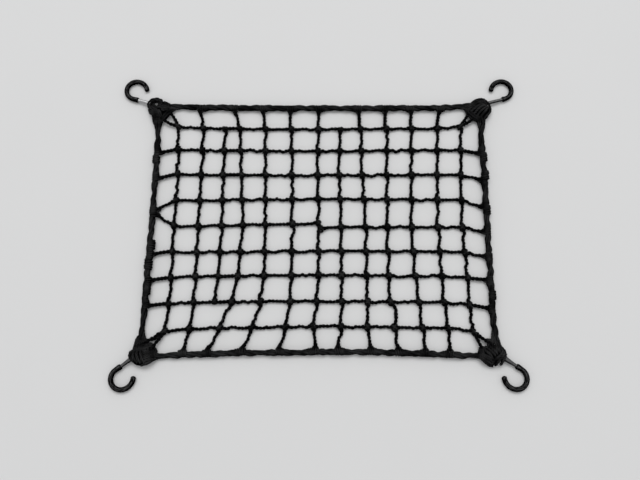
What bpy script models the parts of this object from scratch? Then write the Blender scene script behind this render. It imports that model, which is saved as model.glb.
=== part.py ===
"""Cargo net: a mesh of elastic cord tied inside a rope border, with a wire hook at each corner.

The net lies on z = 0 with the origin under its middle. +X runs along its long side, +Y towards its
top border and +Z up. The tables below are in millimetres, and the finished objects are in metres.
"""

import math
from collections import namedtuple

import bmesh
import bpy
from mathutils import Matrix, Vector

MM = 0.001

# ---------------------------------------------------------------- driving dimensions, in mm
GAP = 0.3               # air between two pieces that meet
CORD_R = 1.7            # mesh cord
ROPE_R = 3.3            # border rope
HITCH_R = 4.4           # border rope where a mesh cord is hitched round it
WIRE_R = 1.9            # bare steel wire of a hook
WIRE_DEPTH = 4.0        # how far the wire runs into its corner knot
COAT_R = 2.8            # the wire with its coating
COAT_START = 0.75       # the coating's rounded start, as a share of COAT_R
COAT_TIP = 0.6          # and its rounded tip
RING_R = 12.2           # centre line of a hook's bend
RING_FLARE = 1.2        # how far the tip stands out from that circle
FLARE_FROM = 0.7        # the share of the bend after which it flares

UNDER_Z = 1.9                               # centre of a cord that passes under another
OVER_Z = UNDER_Z + 2 * CORD_R + GAP         # and of the one that passes over it
KNOT_Z = 6.0                                # height at which everything enters a corner knot
HOOK_Z = COAT_R + 0.1                       # a hook's bend lies on the floor
SQUARE_RUN = 3.0        # a cord runs square to the border for this far before its hitch
TAIL = 2.5              # a cord that ends on another reaches this far past it
CLIMB = 14.0            # the length of rope that rises from the floor to its corner knot

# A cord's, rope's or hook's sides come from its bevel resolution: 6 for a cord, 8 for the others.
CORD_BEVEL = 1
ROUND_BEVEL = 2
BORDER_STEPS = 8        # steps of a border rope between two of its places
BEND_STEP = 15          # degrees between two points of a hook's bend

# ---------------------------------------------------------------- the mesh as it lies
# Where each cord that runs down the net has its x: at the top border, at the named rows, and at
# the bottom border. A row between two named ones takes the mean of them.
Down = namedtuple("Down", "top row1 row3 row5 row7 row8 row9 bottom")
DOWN = {
    "down_01": Down(None, -175.0, -172.0, -173.0, -173.0, -174.0, -177.0, None),
    "down_02": Down(-148.5, -143.5, -143.5, -144.0, -144.5, -145.0, -148.5, -153.5),
    "down_03": Down(None, -116.5, -117.0, -116.0, -118.0, -121.0, None, None),
    "down_04": Down(-105.0, -98.5, -94.5, -91.0, -95.0, -101.0, -114.0, -126.0),
    "down_05": Down(-70.0, -66.5, -65.5, -64.5, -64.5, -68.0, -77.0, -86.5),
    "down_06": Down(-36.5, -34.5, -33.5, -32.0, -32.5, -33.5, -38.5, -45.5),
    "down_07": Down(-1.0, -1.0, -2.0, -1.0, -1.0, -3.0, -7.0, -4.0),
    "down_08": Down(None, 26.0, 24.0, 26.0, 26.0, 26.0, 25.0, 21.0),
    "down_09": Down(49.0, 51.0, 52.0, 55.0, 55.0, 56.0, 55.0, 58.0),
    "down_10": Down(82.0, 83.0, 82.0, 81.0, 81.0, 82.0, 86.0, 89.0),
    "down_11": Down(114.0, 114.0, 112.0, 110.0, 112.0, 115.0, 118.0, 120.0),
    "down_12": Down(149.0, 146.0, 143.0, 141.0, 143.0, 144.0, 147.0, 148.0),
    "down_13": Down(None, 175.0, 172.0, 170.0, 173.0, 173.0, 176.0, None),
}

# Where each cord that runs across has its y: at the left border, at the named down cords, and at the
# right border. It runs straight between those, and through a down cord that has no value for it.
Across = namedtuple("Across", "left down1 down2 down7 down8 down12 down13 right")
ACROSS = {
    "across_1": Across(None, 129.5, 127.0, 125.5, None, 127.0, 129.5, None),
    "across_2": Across(94.0, 99.0, 97.5, 96.5, None, 97.5, 98.0, 93.0),
    "across_3": Across(61.0, 67.0, 65.5, 65.0, None, 65.5, 65.0, 59.0),
    "across_4": Across(20.5, 33.0, 32.5, 34.5, None, 33.5, 33.0, 24.0),
    "across_5": Across(14.5, 1.0, 0.0, 4.0, -0.9, -1.0, -1.0, -7.0),
    "across_6": Across(-34.0, -31.0, -32.0, -30.5, None, -31.0, -32.0, -37.0),
    "across_7": Across(-65.5, -62.5, -61.0, -59.5, None, -60.5, -62.5, -65.5),
    "across_8": Across(-95.5, -93.5, -91.5, -90.5, None, -91.5, -94.5, -98.5),
    "across_9": Across(None, -125.5, -122.5, -119.5, None, -121.5, -125.5, None),
}

# Where a cord kinks between two crossings: the crossing that comes before, and the kink's place.
Kink = namedtuple("Kink", "after x y z")
KINKS = {
    "across_5": [Kink(7, 3.0, -3.0, 5.6)],
    "down_10": [Kink(8, 88.0, -99.0, 3.8), Kink(8, 88.0, -112.0, 3.8)],
}

# Each border rope's centre line, from end to end, as the few places that give it its bow.
BORDER = {
    "rope_top": [(-181, 157), (-168, 156), (-106, 154.5), (0, 154), (106, 154), (160, 155), (184, 158)],
    "rope_bottom": [(-183, -153.5), (-154, -152), (-87, -150), (0, -149), (60, -149), (120, -151),
                    (181, -153)],
    "rope_left": [(-202, 132), (-199.5, 120), (-199, 69), (-199.5, -6), (-201, -82), (-201.5, -115),
                  (-203, -129)],
    "rope_right": [(203, 132), (199.5, 120), (200.5, 69), (199.5, -6), (199.5, -82), (199.5, -115),
                   (201.5, -131)],
}

# ---------------------------------------------------------------- the corners
# knot: the lump's middle. down, across: how far the corner's two mesh cords reach into it.
# facing: the way its lashing faces. exit: where the hook's wire leaves it. ring: the middle of the
# hook's bend. bare: how much wire shows before the coating. tip: the angle at which the bend ends.
Corner = namedtuple("Corner", "knot down across facing exit ring bare tip")
CORNERS = {
    "top_left": Corner((-198, 152), (-186, 147), (-192, 138.5), 140,
                       (-214.5, 160.8), (-229.7, 179), 13.0, 1),
    "top_right": Corner((200, 152), (188, 147), (192, 140), 37,
                        (214.3, 161.4), (229.7, 179), 15.5, 181),
    "bottom_left": Corner((-198.5, -150), (-188.5, -143.5), (-195, -138), 227,
                          (-213.0, -157.6), (-221.7, -179), 12.5, 6),
    "bottom_right": Corner((197, -150), (186, -145), (194, -139), -37,
                           (210.0, -157.0), (221.7, -179), 14.0, 175),
}

# The turns of a lashing, by corner: how far out along its facing a turn's middle is, and how far to
# the left of that; its height; half the width and half the depth of its centre line; and its lean,
# from 0 for a turn that stands across the wire to 90 for one that lies flat.
Turn = namedtuple("Turn", "corner out left z half_width half_depth lean")
TURNS = [
    Turn("top_left", 9.0, 1.0, 9.0, 6.8, 6.8, 84),
    Turn("top_left", 1.0, 0.0, 6.5, 12.5, 5.2, 12),
    Turn("top_left", -4.0, 0.0, 6.5, 12.0, 5.6, -10),
    Turn("top_right", 7.5, -1.0, 6.2, 11.5, 4.8, 10),
    Turn("top_right", 2.0, -1.0, 6.5, 13.0, 5.6, 0),
    Turn("top_right", -4.0, 0.0, 6.5, 12.0, 5.2, -12),
    Turn("bottom_left", 11.5, -1.0, 5.6, 8.4, 3.6, 4),
    Turn("bottom_left", 7.2, -1.0, 6.2, 10.4, 4.6, 0),
    Turn("bottom_left", 2.4, 0.0, 6.5, 11.6, 5.4, -6),
    Turn("bottom_right", 12.0, 1.0, 5.6, 8.2, 3.6, 6),
    Turn("bottom_right", 7.6, 0.0, 6.2, 10.6, 4.6, 0),
    Turn("bottom_right", 2.6, 0.0, 6.5, 11.8, 5.4, -6),
]
TURN_R = 2.6                    # half the thickness of a turn
CORE = (14.2, 13.2, 7.6)        # half sizes of the lump inside the lashing
CORE_Z = 6.4                    # height of its middle
FAN_R = 9.2                     # a knot narrows from this radius
FAN_END_R = ROPE_R + 0.2        # to this one where its rope comes out
FAN_START = 0.25                # the share of the way to its rope at which it is widest
FAN_HEIGHT = 0.75               # a fan's height as a share of its width
ROPE_SEAT = 8.0                 # how far the room for a rope's end reaches
CORD_SEAT = 14.0                # the same for a mesh cord
WIRE_SEAT = 12.0                # and for the hook's wire
FLOOR_BLOCK = (80.0, 80.0, 20.0)    # the block that cuts a knot's underside flat

ROWS = list(ACROSS)
COLUMNS = list(DOWN)


# ---------------------------------------------------------------- scene and materials
def clear_scene():
    for obj in list(bpy.data.objects):
        bpy.data.objects.remove(obj, do_unlink=True)


def new_collection(name):
    collection = bpy.data.collections.new(name)
    bpy.context.scene.collection.children.link(collection)
    return collection


def new_material(name, colour, roughness, metallic=0.0):
    material = bpy.data.materials.new(name)
    material.use_nodes = True
    shader = material.node_tree.nodes["Principled BSDF"]
    shader.inputs["Base Color"].default_value = (*colour, 1.0)
    shader.inputs["Roughness"].default_value = roughness
    shader.inputs["Metallic"].default_value = metallic
    return material


# ---------------------------------------------------------------- routes
def smooth(points, per_span):
    """A round curve through the points, with per_span steps between each two of them."""
    route = []
    last = len(points) - 1
    for i in range(last):
        before, start, end, after = (points[min(max(k, 0), last)] for k in (i - 1, i, i + 1, i + 2))
        for k in range(per_span):
            t = k / per_span
            route.append(0.5 * (2 * start + (end - before) * t
                                + (2 * before - 5 * start + 4 * end - after) * t ** 2
                                + (3 * start - before - 3 * end + after) * t ** 3))
    return route + [points[-1]]


def read_off(route, axis, value):
    """The place on a route where its x (axis 0) or y (axis 1) has this value."""
    for start, end in zip(route, route[1:]):
        low, high = sorted((start[axis], end[axis]))
        if low <= value <= high and high > low:
            return start.lerp(end, (value - start[axis]) / (end[axis] - start[axis]))
    raise ValueError("the route never reaches %s" % value)


def down_x(name, row):
    """x of a down cord at a numbered row."""
    cord = DOWN[name]
    if row in (2, 4, 6):
        return (getattr(cord, "row%d" % (row - 1)) + getattr(cord, "row%d" % (row + 1))) / 2
    return getattr(cord, "row%d" % row)


def across_y(name, column):
    """y of an across cord at a numbered column."""
    cord = ACROSS[name]
    known = [c for c in (1, 2, 7, 8, 12, 13) if getattr(cord, "down%d" % c) is not None]
    low = max(c for c in known if c <= column)
    if low == column:
        return getattr(cord, "down%d" % column)
    high = min(c for c in known if c > column)
    share = (column - low) / (high - low)
    return (1 - share) * getattr(cord, "down%d" % low) + share * getattr(cord, "down%d" % high)


def crossing(row, column):
    """Where two mesh cords cross, on the plan."""
    return down_x(COLUMNS[column - 1], row), across_y(ROWS[row - 1], column)


def crossing_z(row, column, runs_across):
    """The mesh is woven: each cord goes over and under in turn."""
    across_is_over = (row + column) % 2 == 0
    return OVER_Z if across_is_over == runs_across else UNDER_Z


def to_border(route, axis, value, inward):
    """The last two places of a mesh cord that is hitched to a border rope."""
    x, y = read_off(route, axis, value)
    inward = Vector((*inward, 0))
    rope = Vector((x, y, HITCH_R))
    return [rope + inward * (HITCH_R + SQUARE_RUN), rope + inward * (HITCH_R + GAP)]


def with_kinks(name, crossings):
    """A cord's crossings as a route, with its kinks put in after theirs."""
    route = []
    for number, plan, z in crossings:
        route.append(Vector((*plan, z)))
        for kink in KINKS.get(name, []):
            if kink.after == number:
                route.append(Vector((kink.x, kink.y, kink.z)))
    return route


def down_reaches(column, row):
    """Whether the down cord of this column is there at this row."""
    return getattr(DOWN[COLUMNS[column - 1]], "row%d" % row, True) is not None


def down_route(name, borders):
    """A down cord, from top to bottom."""
    cord = DOWN[name]
    column = COLUMNS.index(name) + 1
    rows = [row for row in range(1, 10) if down_reaches(column, row)]
    route = with_kinks(name, [(row, crossing(row, column), crossing_z(row, column, False)) for row in rows])
    side = "left" if column == 1 else "right"
    if column in (1, 13):
        top = Vector((*CORNERS["top_" + side].down, KNOT_Z))
        bottom = Vector((*CORNERS["bottom_" + side].down, KNOT_Z))
        return [top] + route + [bottom]
    if cord.top is None:
        route[0] = route[0] + Vector((0, TAIL, 0))
    else:
        route = to_border(borders["rope_top"], 0, cord.top, (0, -1))[::-1] + route
    if cord.bottom is None:
        route[-1] = route[-1] - Vector((0, TAIL, 0))
    else:
        route = route + to_border(borders["rope_bottom"], 0, cord.bottom, (0, 1))
    return route


def across_route(name, borders):
    """An across cord, from left to right."""
    cord = ACROSS[name]
    row = ROWS.index(name) + 1
    columns = [c for c in range(1, 14) if down_reaches(c, row)]
    route = with_kinks(name, [(c, crossing(row, c), crossing_z(row, c, True)) for c in columns])
    if cord.left is None:
        level = "top_" if row == 1 else "bottom_"
        left = Vector((*CORNERS[level + "left"].across, KNOT_Z))
        right = Vector((*CORNERS[level + "right"].across, KNOT_Z))
        return [left] + route + [right]
    left = to_border(borders["rope_left"], 1, cord.left, (1, 0))[::-1]
    right = to_border(borders["rope_right"], 1, cord.right, (-1, 0))
    return left + route + right


def hitches(name):
    """Where mesh cords are hitched to a border rope: x on the top and bottom, y on the sides."""
    if name in ("rope_top", "rope_bottom"):
        places = [getattr(cord, name[5:]) for cord in DOWN.values()]
    else:
        places = [getattr(cord, name[5:]) for cord in ACROSS.values()]
    return sorted(place for place in places if place is not None)


def rope_route(name, line):
    """A border rope's points and radii: it swells at each hitch and climbs into its corner knots."""
    axis = 0 if name in ("rope_top", "rope_bottom") else 1
    tied = hitches(name)
    between = [(a + b) / 2 for a, b in zip(tied, tied[1:]) if b - a > 2 * HITCH_R]
    low, high = sorted((line[0][axis], line[-1][axis]))
    ends = [low, low + CLIMB, high - CLIMB, high]
    points = []
    radii = []
    for value in sorted(tied + between + ends):
        x, y = read_off(line, axis, value)
        radius = HITCH_R if value in tied else ROPE_R
        points.append(Vector((x, y, KNOT_Z if value in (low, high) else radius)))
        radii.append(radius)
    return points, radii


def hook_route(corner):
    """A hook's wire: straight from the knot until it meets the bend, then round the bend to its tip.

    The bend turns away from the net, so it runs clockwise on the left at the top and on the right
    at the bottom, and the other way on the other two.
    """
    spot = Vector(corner.exit)
    ring = Vector(corner.ring)
    clockwise = (ring.x < 0) == (ring.y > 0)
    turn = -1 if clockwise else 1
    to_exit = spot - ring
    angle = math.atan2(to_exit.y, to_exit.x) + turn * math.acos(RING_R / to_exit.length)
    sweep = (math.radians(corner.tip) - angle) * turn % math.tau
    steps = round(math.degrees(sweep) / BEND_STEP)
    bend = []
    for k in range(steps + 1):
        share = k / steps
        flare = RING_FLARE * max(0.0, (share - FLARE_FROM) / (1 - FLARE_FROM)) ** 2
        around = angle + turn * sweep * share
        x, y = ring + (RING_R + flare) * Vector((math.cos(around), math.sin(around)))
        bend.append(Vector((x, y, HOOK_Z)))
    return Vector((*spot, KNOT_Z - 1.0)), bend


# ---------------------------------------------------------------- making pieces
def tube(name, points, radius, bevel, material, collection, radii=None):
    """A round cord, rope or wire as a curve object; radii gives a radius of its own to each point."""
    curve = bpy.data.curves.new(name, "CURVE")
    curve.dimensions = "3D"
    curve.bevel_depth = radius * MM
    curve.bevel_resolution = bevel
    curve.use_fill_caps = True
    spline = curve.splines.new("POLY")
    spline.points.add(len(points) - 1)
    for i, place in enumerate(points):
        spline.points[i].co = (*(place * MM), 1.0)
        spline.points[i].radius = radii[i] / radius if radii else 1.0
    curve.materials.append(material)
    obj = bpy.data.objects.new(name, curve)
    collection.objects.link(obj)
    return obj


def as_mesh(obj):
    """Turn a curve object into a mesh object of the same name, with its end caps welded on."""
    shape = bpy.data.meshes.new_from_object(obj.evaluated_get(bpy.context.evaluated_depsgraph_get()))
    weld(shape)
    name = obj.name
    collection = obj.users_collection[0]
    bpy.data.objects.remove(obj, do_unlink=True)
    solid = bpy.data.objects.new(name, shape)
    collection.objects.link(solid)
    return solid


def weld(shape):
    """Merge a mesh's doubled points and turn its faces outwards."""
    form = bmesh.new()
    form.from_mesh(shape)
    bmesh.ops.remove_doubles(form, verts=form.verts, dist=1e-6)
    bmesh.ops.recalc_face_normals(form, faces=form.faces)
    form.to_mesh(shape)
    form.free()


def place_primitive(name, matrix, collection, helper=True):
    """Give the primitive just added its name, place and collection."""
    obj = bpy.context.active_object
    obj.name = name
    obj.data.transform(matrix)
    for other in list(obj.users_collection):
        other.objects.unlink(obj)
    collection.objects.link(obj)
    if helper:
        obj.hide_render = True
        obj.display_type = "WIRE"
    return obj


def knot_frame(corner):
    """A knot's own frame: x out along its lashing's facing, y to the left, z up."""
    turn = Matrix.Rotation(math.radians(corner.facing), 4, "Z")
    return Matrix.Translation((corner.knot[0] * MM, corner.knot[1] * MM, 0)) @ turn


def lashing_turn(name, frame, turn, collection):
    """One turn of the lashing, filled: a disc with a rounded rim, as wide and deep as the turn."""
    bpy.ops.mesh.primitive_uv_sphere_add(segments=14, ring_count=6, radius=1.0)
    for vert in bpy.context.active_object.data.vertices:
        rim = Vector((vert.co.x, vert.co.y, 0))
        if rim.length > 0.01:
            rim.normalize()
        rim = Vector((rim.x * turn.half_depth, rim.y * turn.half_width, 0))
        vert.co = (rim + vert.co * TURN_R) * MM
    stand = Matrix.Rotation(math.radians(90 - turn.lean), 4, "Y")
    spot = Matrix.Translation((turn.out * MM, turn.left * MM, turn.z * MM))
    return place_primitive(name, frame @ spot @ stand, collection)


def fan(name, wide_end, narrow_end, collection):
    """The cone in which a rope's strands spread into the knot."""
    along = narrow_end - wide_end
    bpy.ops.mesh.primitive_cone_add(vertices=10, radius1=FAN_R * MM, radius2=FAN_END_R * MM,
                                    depth=along.length * MM)
    turn = along.to_track_quat("Z", "Y").to_matrix().to_4x4()
    flatten = Matrix.Diagonal((1.0, 1.0, FAN_HEIGHT, 1.0))
    middle = Matrix.Translation((wide_end + narrow_end) / 2 * MM)
    lift = Matrix.Translation((0, 0, KNOT_Z * MM))
    return place_primitive(name, middle @ lift @ flatten @ turn, collection)


def socket(name, route, radius, reach, collection):
    """Room in a knot for the end of a cord, rope or wire whose route starts inside it."""
    inside, outside = route
    along = (outside - inside).normalized()
    ends = [inside - along * GAP, inside + along * reach]
    material = bpy.data.materials["cord_black"]
    cutter = as_mesh(tube(name, ends, radius, ROUND_BEVEL, material, collection))
    cutter.hide_render = True
    cutter.display_type = "WIRE"
    return cutter


def boolean(obj, operation, others):
    """One exact union or difference with a whole collection of other shapes."""
    modifier = obj.modifiers.new(others.name, "BOOLEAN")
    modifier.operation = operation
    modifier.solver = "EXACT"
    modifier.operand_type = "COLLECTION"
    modifier.collection = others


def build_knot(label, routes, material, net, helpers):
    """A corner knot: a lump with its lashing, spread to its two ropes, and flat where it rests."""
    corner = CORNERS[label]
    name = "knot_" + label
    frame = knot_frame(corner)
    added = bpy.data.collections.new(name + "_added")
    removed = bpy.data.collections.new(name + "_removed")
    helpers.children.link(added)
    helpers.children.link(removed)

    bpy.ops.mesh.primitive_uv_sphere_add(segments=16, ring_count=10, radius=1.0)
    scale = Matrix.Diagonal((*(half * MM for half in CORE), 1.0))
    core = place_primitive(name, frame @ Matrix.Translation((0, 0, CORE_Z * MM)) @ scale, net, helper=False)
    core.data.materials.append(material)

    for k, turn in enumerate(entry for entry in TURNS if entry.corner == label):
        lashing_turn("%s_turn_%d" % (name, k + 1), frame, turn, added)
    middle = Vector((*corner.knot, 0))
    for part in ("rope_side", "rope_along"):
        rope_end = routes[part][0].copy()
        rope_end.z = 0
        fan("%s_%s_fan" % (name, part), middle.lerp(rope_end, FAN_START), rope_end, added)
        socket("%s_%s_seat" % (name, part), routes[part], 2 * ROPE_R, ROPE_SEAT, removed)
    for part in ("down", "across"):
        socket("%s_%s_seat" % (name, part), routes[part], CORD_R + GAP, CORD_SEAT, removed)
    socket("%s_wire_seat" % name, routes["wire"], WIRE_R + GAP, WIRE_SEAT, removed)

    bpy.ops.mesh.primitive_cube_add(size=1.0)
    below = Matrix.Translation((*middle.xy * MM, -FLOOR_BLOCK[2] / 2 * MM))
    block = Matrix.Diagonal((*(side * MM for side in FLOOR_BLOCK), 1.0))
    place_primitive(name + "_floor", below @ block, removed)

    boolean(core, "UNION", added)
    boolean(core, "DIFFERENCE", removed)
    return core


# ---------------------------------------------------------------- the net
def build():
    clear_scene()
    net = new_collection("cargo_net")
    helpers = new_collection("helpers")
    cord_black = new_material("cord_black", (0.012, 0.012, 0.013), 0.85)
    rope_black = new_material("rope_black", (0.014, 0.014, 0.015), 0.80)
    coat_black = new_material("coat_black", (0.016, 0.016, 0.017), 0.35)
    wire_steel = new_material("wire_steel", (0.55, 0.55, 0.56), 0.35, 1.0)

    borders = {}
    for name, places in BORDER.items():
        borders[name] = smooth([Vector(place) for place in places], BORDER_STEPS)
    ropes = {}
    for name, line in borders.items():
        ropes[name], radii = rope_route(name, line)
        tube(name, ropes[name], ROPE_R, ROUND_BEVEL, rope_black, net, radii)

    cords = {name: down_route(name, borders) for name in DOWN}
    cords.update({name: across_route(name, borders) for name in ACROSS})
    for name, route in cords.items():
        tube(name, route, CORD_R, CORD_BEVEL, cord_black, net)

    for label, corner in CORNERS.items():
        level, side = label.split("_")
        start, bend = hook_route(corner)
        along = (bend[0] - start).normalized()
        coat_start = start + along * corner.bare
        coat_end = bend[-1] + (bend[-1] - bend[-2]).normalized() * COAT_R / 2
        coat = [coat_start, coat_start + along * COAT_R / 2] + bend + [coat_end]
        narrowing = [COAT_START * COAT_R, COAT_R] + [COAT_R] * len(bend) + [COAT_TIP * COAT_R]
        tube("hook_" + label, coat, COAT_R, ROUND_BEVEL, coat_black, net, narrowing)
        wire = [start - along * WIRE_DEPTH, coat_start - along * GAP]
        tube("shank_" + label, wire, WIRE_R, ROUND_BEVEL, wire_steel, net)

        down = cords["down_01" if side == "left" else "down_13"]
        across = cords["across_1" if level == "top" else "across_9"]
        rope_side = ropes["rope_" + side]
        rope_along = ropes["rope_" + level]
        routes = {
            "down": down[:2] if level == "top" else down[:-3:-1],
            "across": across[:2] if side == "left" else across[:-3:-1],
            "rope_side": rope_side[:-3:-1] if level == "top" else rope_side[:2],
            "rope_along": rope_along[:2] if side == "left" else rope_along[:-3:-1],
            "wire": wire,
        }
        build_knot(label, routes, rope_black, net, helpers)


build()
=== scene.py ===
# %% [markdown]
# # A cargo net, laid out flat
# This is a small elastic net for holding down luggage. Thin black cord is tied into a mesh, the
# mesh is hitched to a border of thicker rope, and each corner is lashed round a coated wire hook.
# The packed model is opened first. It fixes where every piece is and how large it is, so nothing
# below has to be fitted afterwards. Its box is kept, to compare with the finished net's at the end.

# %% Open the frame
import math
import random
from collections import namedtuple

import bmesh
import bpy
from mathutils import Matrix, Vector, noise


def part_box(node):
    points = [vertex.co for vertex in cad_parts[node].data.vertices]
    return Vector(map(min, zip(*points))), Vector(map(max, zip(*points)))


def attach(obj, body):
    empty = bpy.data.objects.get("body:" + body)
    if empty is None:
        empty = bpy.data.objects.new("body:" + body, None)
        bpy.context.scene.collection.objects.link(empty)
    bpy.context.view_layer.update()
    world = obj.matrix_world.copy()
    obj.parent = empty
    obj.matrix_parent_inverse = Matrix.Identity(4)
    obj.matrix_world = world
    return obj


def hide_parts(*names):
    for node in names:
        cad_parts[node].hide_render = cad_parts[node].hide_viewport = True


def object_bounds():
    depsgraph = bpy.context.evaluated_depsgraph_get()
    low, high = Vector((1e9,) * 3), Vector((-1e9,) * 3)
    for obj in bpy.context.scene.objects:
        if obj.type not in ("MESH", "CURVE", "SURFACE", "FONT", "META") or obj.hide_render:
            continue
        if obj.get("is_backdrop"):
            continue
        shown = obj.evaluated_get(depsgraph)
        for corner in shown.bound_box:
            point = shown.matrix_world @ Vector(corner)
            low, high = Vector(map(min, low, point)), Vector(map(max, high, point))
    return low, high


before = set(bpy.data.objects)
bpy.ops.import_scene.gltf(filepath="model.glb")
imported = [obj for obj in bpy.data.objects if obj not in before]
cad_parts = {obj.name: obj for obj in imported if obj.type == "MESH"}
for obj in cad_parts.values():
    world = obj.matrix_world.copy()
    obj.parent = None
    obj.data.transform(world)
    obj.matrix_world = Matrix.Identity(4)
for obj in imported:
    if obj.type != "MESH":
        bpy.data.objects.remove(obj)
cad_low, cad_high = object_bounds()
MM = 0.001
cad_size = [round(side / MM, 1) for side in cad_high - cad_low]
print("frame:", len(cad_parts), "nodes,", cad_size, "mm")

# %% [markdown]
# ## Camera
# The net lies on the floor and is seen from high up, a little from its lower border. A tilted view
# makes the far border look shorter than the near one, and the lens sets how strongly. A camera can
# be given a place and a turn directly, but then each change of the one needs the other worked out
# again. So it is placed by the point that it looks at, its height as an angle, and its distance.

# %% Place the camera
AIM = Vector((0.0008, -0.0160, 0.0))
ELEVATION = 74.0
DISTANCE = 0.8441


def linked(name, data):
    """A new object in the scene for a camera, a lamp or a mesh."""
    made = bpy.data.objects.new(name, data)
    bpy.context.collection.objects.link(made)
    return made


camera_data = bpy.data.cameras.new("camera")
camera_data.sensor_width = 36.0
camera_data.lens = 40.0
camera = linked("camera", camera_data)
tilt = math.radians(90.0 - ELEVATION)
camera.location = AIM + DISTANCE * Vector((0.0, -math.sin(tilt), math.cos(tilt)))
camera.rotation_euler = (tilt, 0.0, 0.0)
bpy.context.scene.camera = camera
print("camera at", [round(value, 3) for value in camera.location])

# %% [markdown]
# ## Nodes, written as sentences
# Materials and Geometry Nodes are both trees of nodes joined by links. Written out in full, each
# node takes four or five lines, and the sense of it is lost. So one helper adds a node, sets its
# options and fills its inputs. An input is either a plain value or another node's output, and in
# the second case the helper draws the link. The other helpers are the few nodes used most often.

# %% Helpers for node trees
class Nodes:
    """A node tree. Each call adds one node, and gives its outputs or the one that matters."""

    def __init__(self, tree):
        self.tree = tree

    def add(self, kind, inputs=None, **options):
        """A new node, with its options set and its inputs filled or linked."""
        made = self.tree.nodes.new(kind)
        for option, value in options.items():
            setattr(made, option, value)
        for name, value in (inputs or {}).items():
            if isinstance(value, bpy.types.NodeSocket):
                self.tree.links.new(value, made.inputs[name])
            else:
                made.inputs[name].default_value = value
        return made.outputs

    def maths(self, operation, *values):
        return self.add("ShaderNodeMath", dict(enumerate(values)), operation=operation)[0]

    def vector(self, operation, *values):
        """A Vector Math node. The last value of a scaling is a number."""
        inputs = zip(("Vector", "Scale"), values) if operation == "SCALE" else enumerate(values)
        return self.add("ShaderNodeVectorMath", dict(inputs), operation=operation)[0]

    def noise(self, place, scale, detail, roughness=0.5, w=None):
        """A noise texture, with a fourth dimension where a value is given for it."""
        inputs = {"Vector": place, "Scale": scale, "Detail": detail, "Roughness": roughness}
        if w is None:
            return self.add("ShaderNodeTexNoise", inputs)
        return self.add("ShaderNodeTexNoise", {**inputs, "W": w}, noise_dimensions="4D")

    def ramp(self, value, low, high, to_low=0.0, to_high=1.0, soft=False):
        """A value drawn out from one range to another, and held at its ends."""
        inputs = {"Value": value, "From Min": low, "From Max": high, "To Min": to_low,
                  "To Max": to_high}
        return self.add("ShaderNodeMapRange", inputs,
                        interpolation_type="SMOOTHSTEP" if soft else "LINEAR")["Result"]

    def split(self, vector):
        return self.add("ShaderNodeSeparateXYZ", {"Vector": vector})

    def join(self, x, y, z):
        return self.add("ShaderNodeCombineXYZ", {"X": x, "Y": y, "Z": z})["Vector"]


def new_material(name):
    """An empty material: itself, its nodes, and its Principled shader, joined to the output."""
    material = bpy.data.materials.new(name)
    material.use_nodes = True
    return material, Nodes(material.node_tree), material.node_tree.nodes["Principled BSDF"]


print("node helpers:", [name for name in vars(Nodes) if not name.startswith("_")])

# %% [markdown]
# ## Floor
# A plain pale floor, far larger than the net. A sheet with a curved back is often used behind an
# object, but from this high up only a flat plane shows. Its colour is broken up a little with
# noise, so that it reads as a real sheet and not as a void. It is staged: shown, but not part of
# the object.

# %% Lay the floor
FLOOR_SIZE = 8.0
FLOOR_TONE = 0.72
FLOOR_MOTTLE = 0.006            # how far its tone goes up and down


def floor_finish():
    material, nodes, shader = new_material("floor_paper")
    place = nodes.add("ShaderNodeTexCoord")["Object"]
    mottle = nodes.noise(place, scale=7.0, detail=3.0)["Fac"]
    tone = nodes.ramp(mottle, 0.0, 1.0, FLOOR_TONE - FLOOR_MOTTLE, FLOOR_TONE + FLOOR_MOTTLE)
    nodes.tree.links.new(tone, shader.inputs["Base Color"])
    shader.inputs["Roughness"].default_value = 0.8
    shader.inputs["Specular IOR Level"].default_value = 0.2
    return material


bpy.ops.mesh.primitive_plane_add(size=FLOOR_SIZE)
floor = bpy.context.active_object
floor.name = "floor"
floor.data.materials.append(floor_finish())
floor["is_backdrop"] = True
print("floor:", FLOOR_SIZE, "m wide")

# %% [markdown]
# ## Light
# One large soft lamp hangs high up beyond the top border, and a pale sky fills the shadows. A large
# lamp gives short, soft-edged shadows, where several small ones would give each cord several hard
# ones. Because it stands on the far side, they fall on the near side of each cord. The Standard
# view shows the tones as they are, without a film-like curve.

# %% Hang the lamp
lamp_data = bpy.data.lights.new("lamp", "AREA")
lamp_data.shape = "RECTANGLE"
lamp_data.size = 6.5
lamp_data.size_y = 3.5
lamp_data.energy = 216.0
lamp = linked("lamp", lamp_data)
lamp.location = (0.0, 3.1, 6.1)
lamp.rotation_euler = (-lamp.location).to_track_quat("-Z", "Y").to_euler()

world = bpy.data.worlds.new("studio")
world.use_nodes = True
sky = world.node_tree.nodes["Background"]
sky.inputs["Color"].default_value = (0.90, 0.905, 0.91, 1.0)
sky.inputs["Strength"].default_value = 0.66
bpy.context.scene.world = world
bpy.context.scene.view_settings.view_transform = "Standard"
print("lamp:", lamp_data.energy, "W from", [round(value, 1) for value in lamp.location])

# %% [markdown]
# ## Where everything lies
# The packed model holds each cord and rope as a tube whose corners stand in rings. The middle of
# each ring is a point on the cord's own line. The lines could be listed here again, but read from
# the tubes they stay in step with the solids. The corners are sorted along the way the tube runs,
# and wherever the next one is more than a small step further on, a new ring starts.

# %% Read the lines of the cords and ropes
X, Y = 0, 1
RING_STEP = 1.4 * MM            # the corners of two rings are at least this far apart


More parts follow.
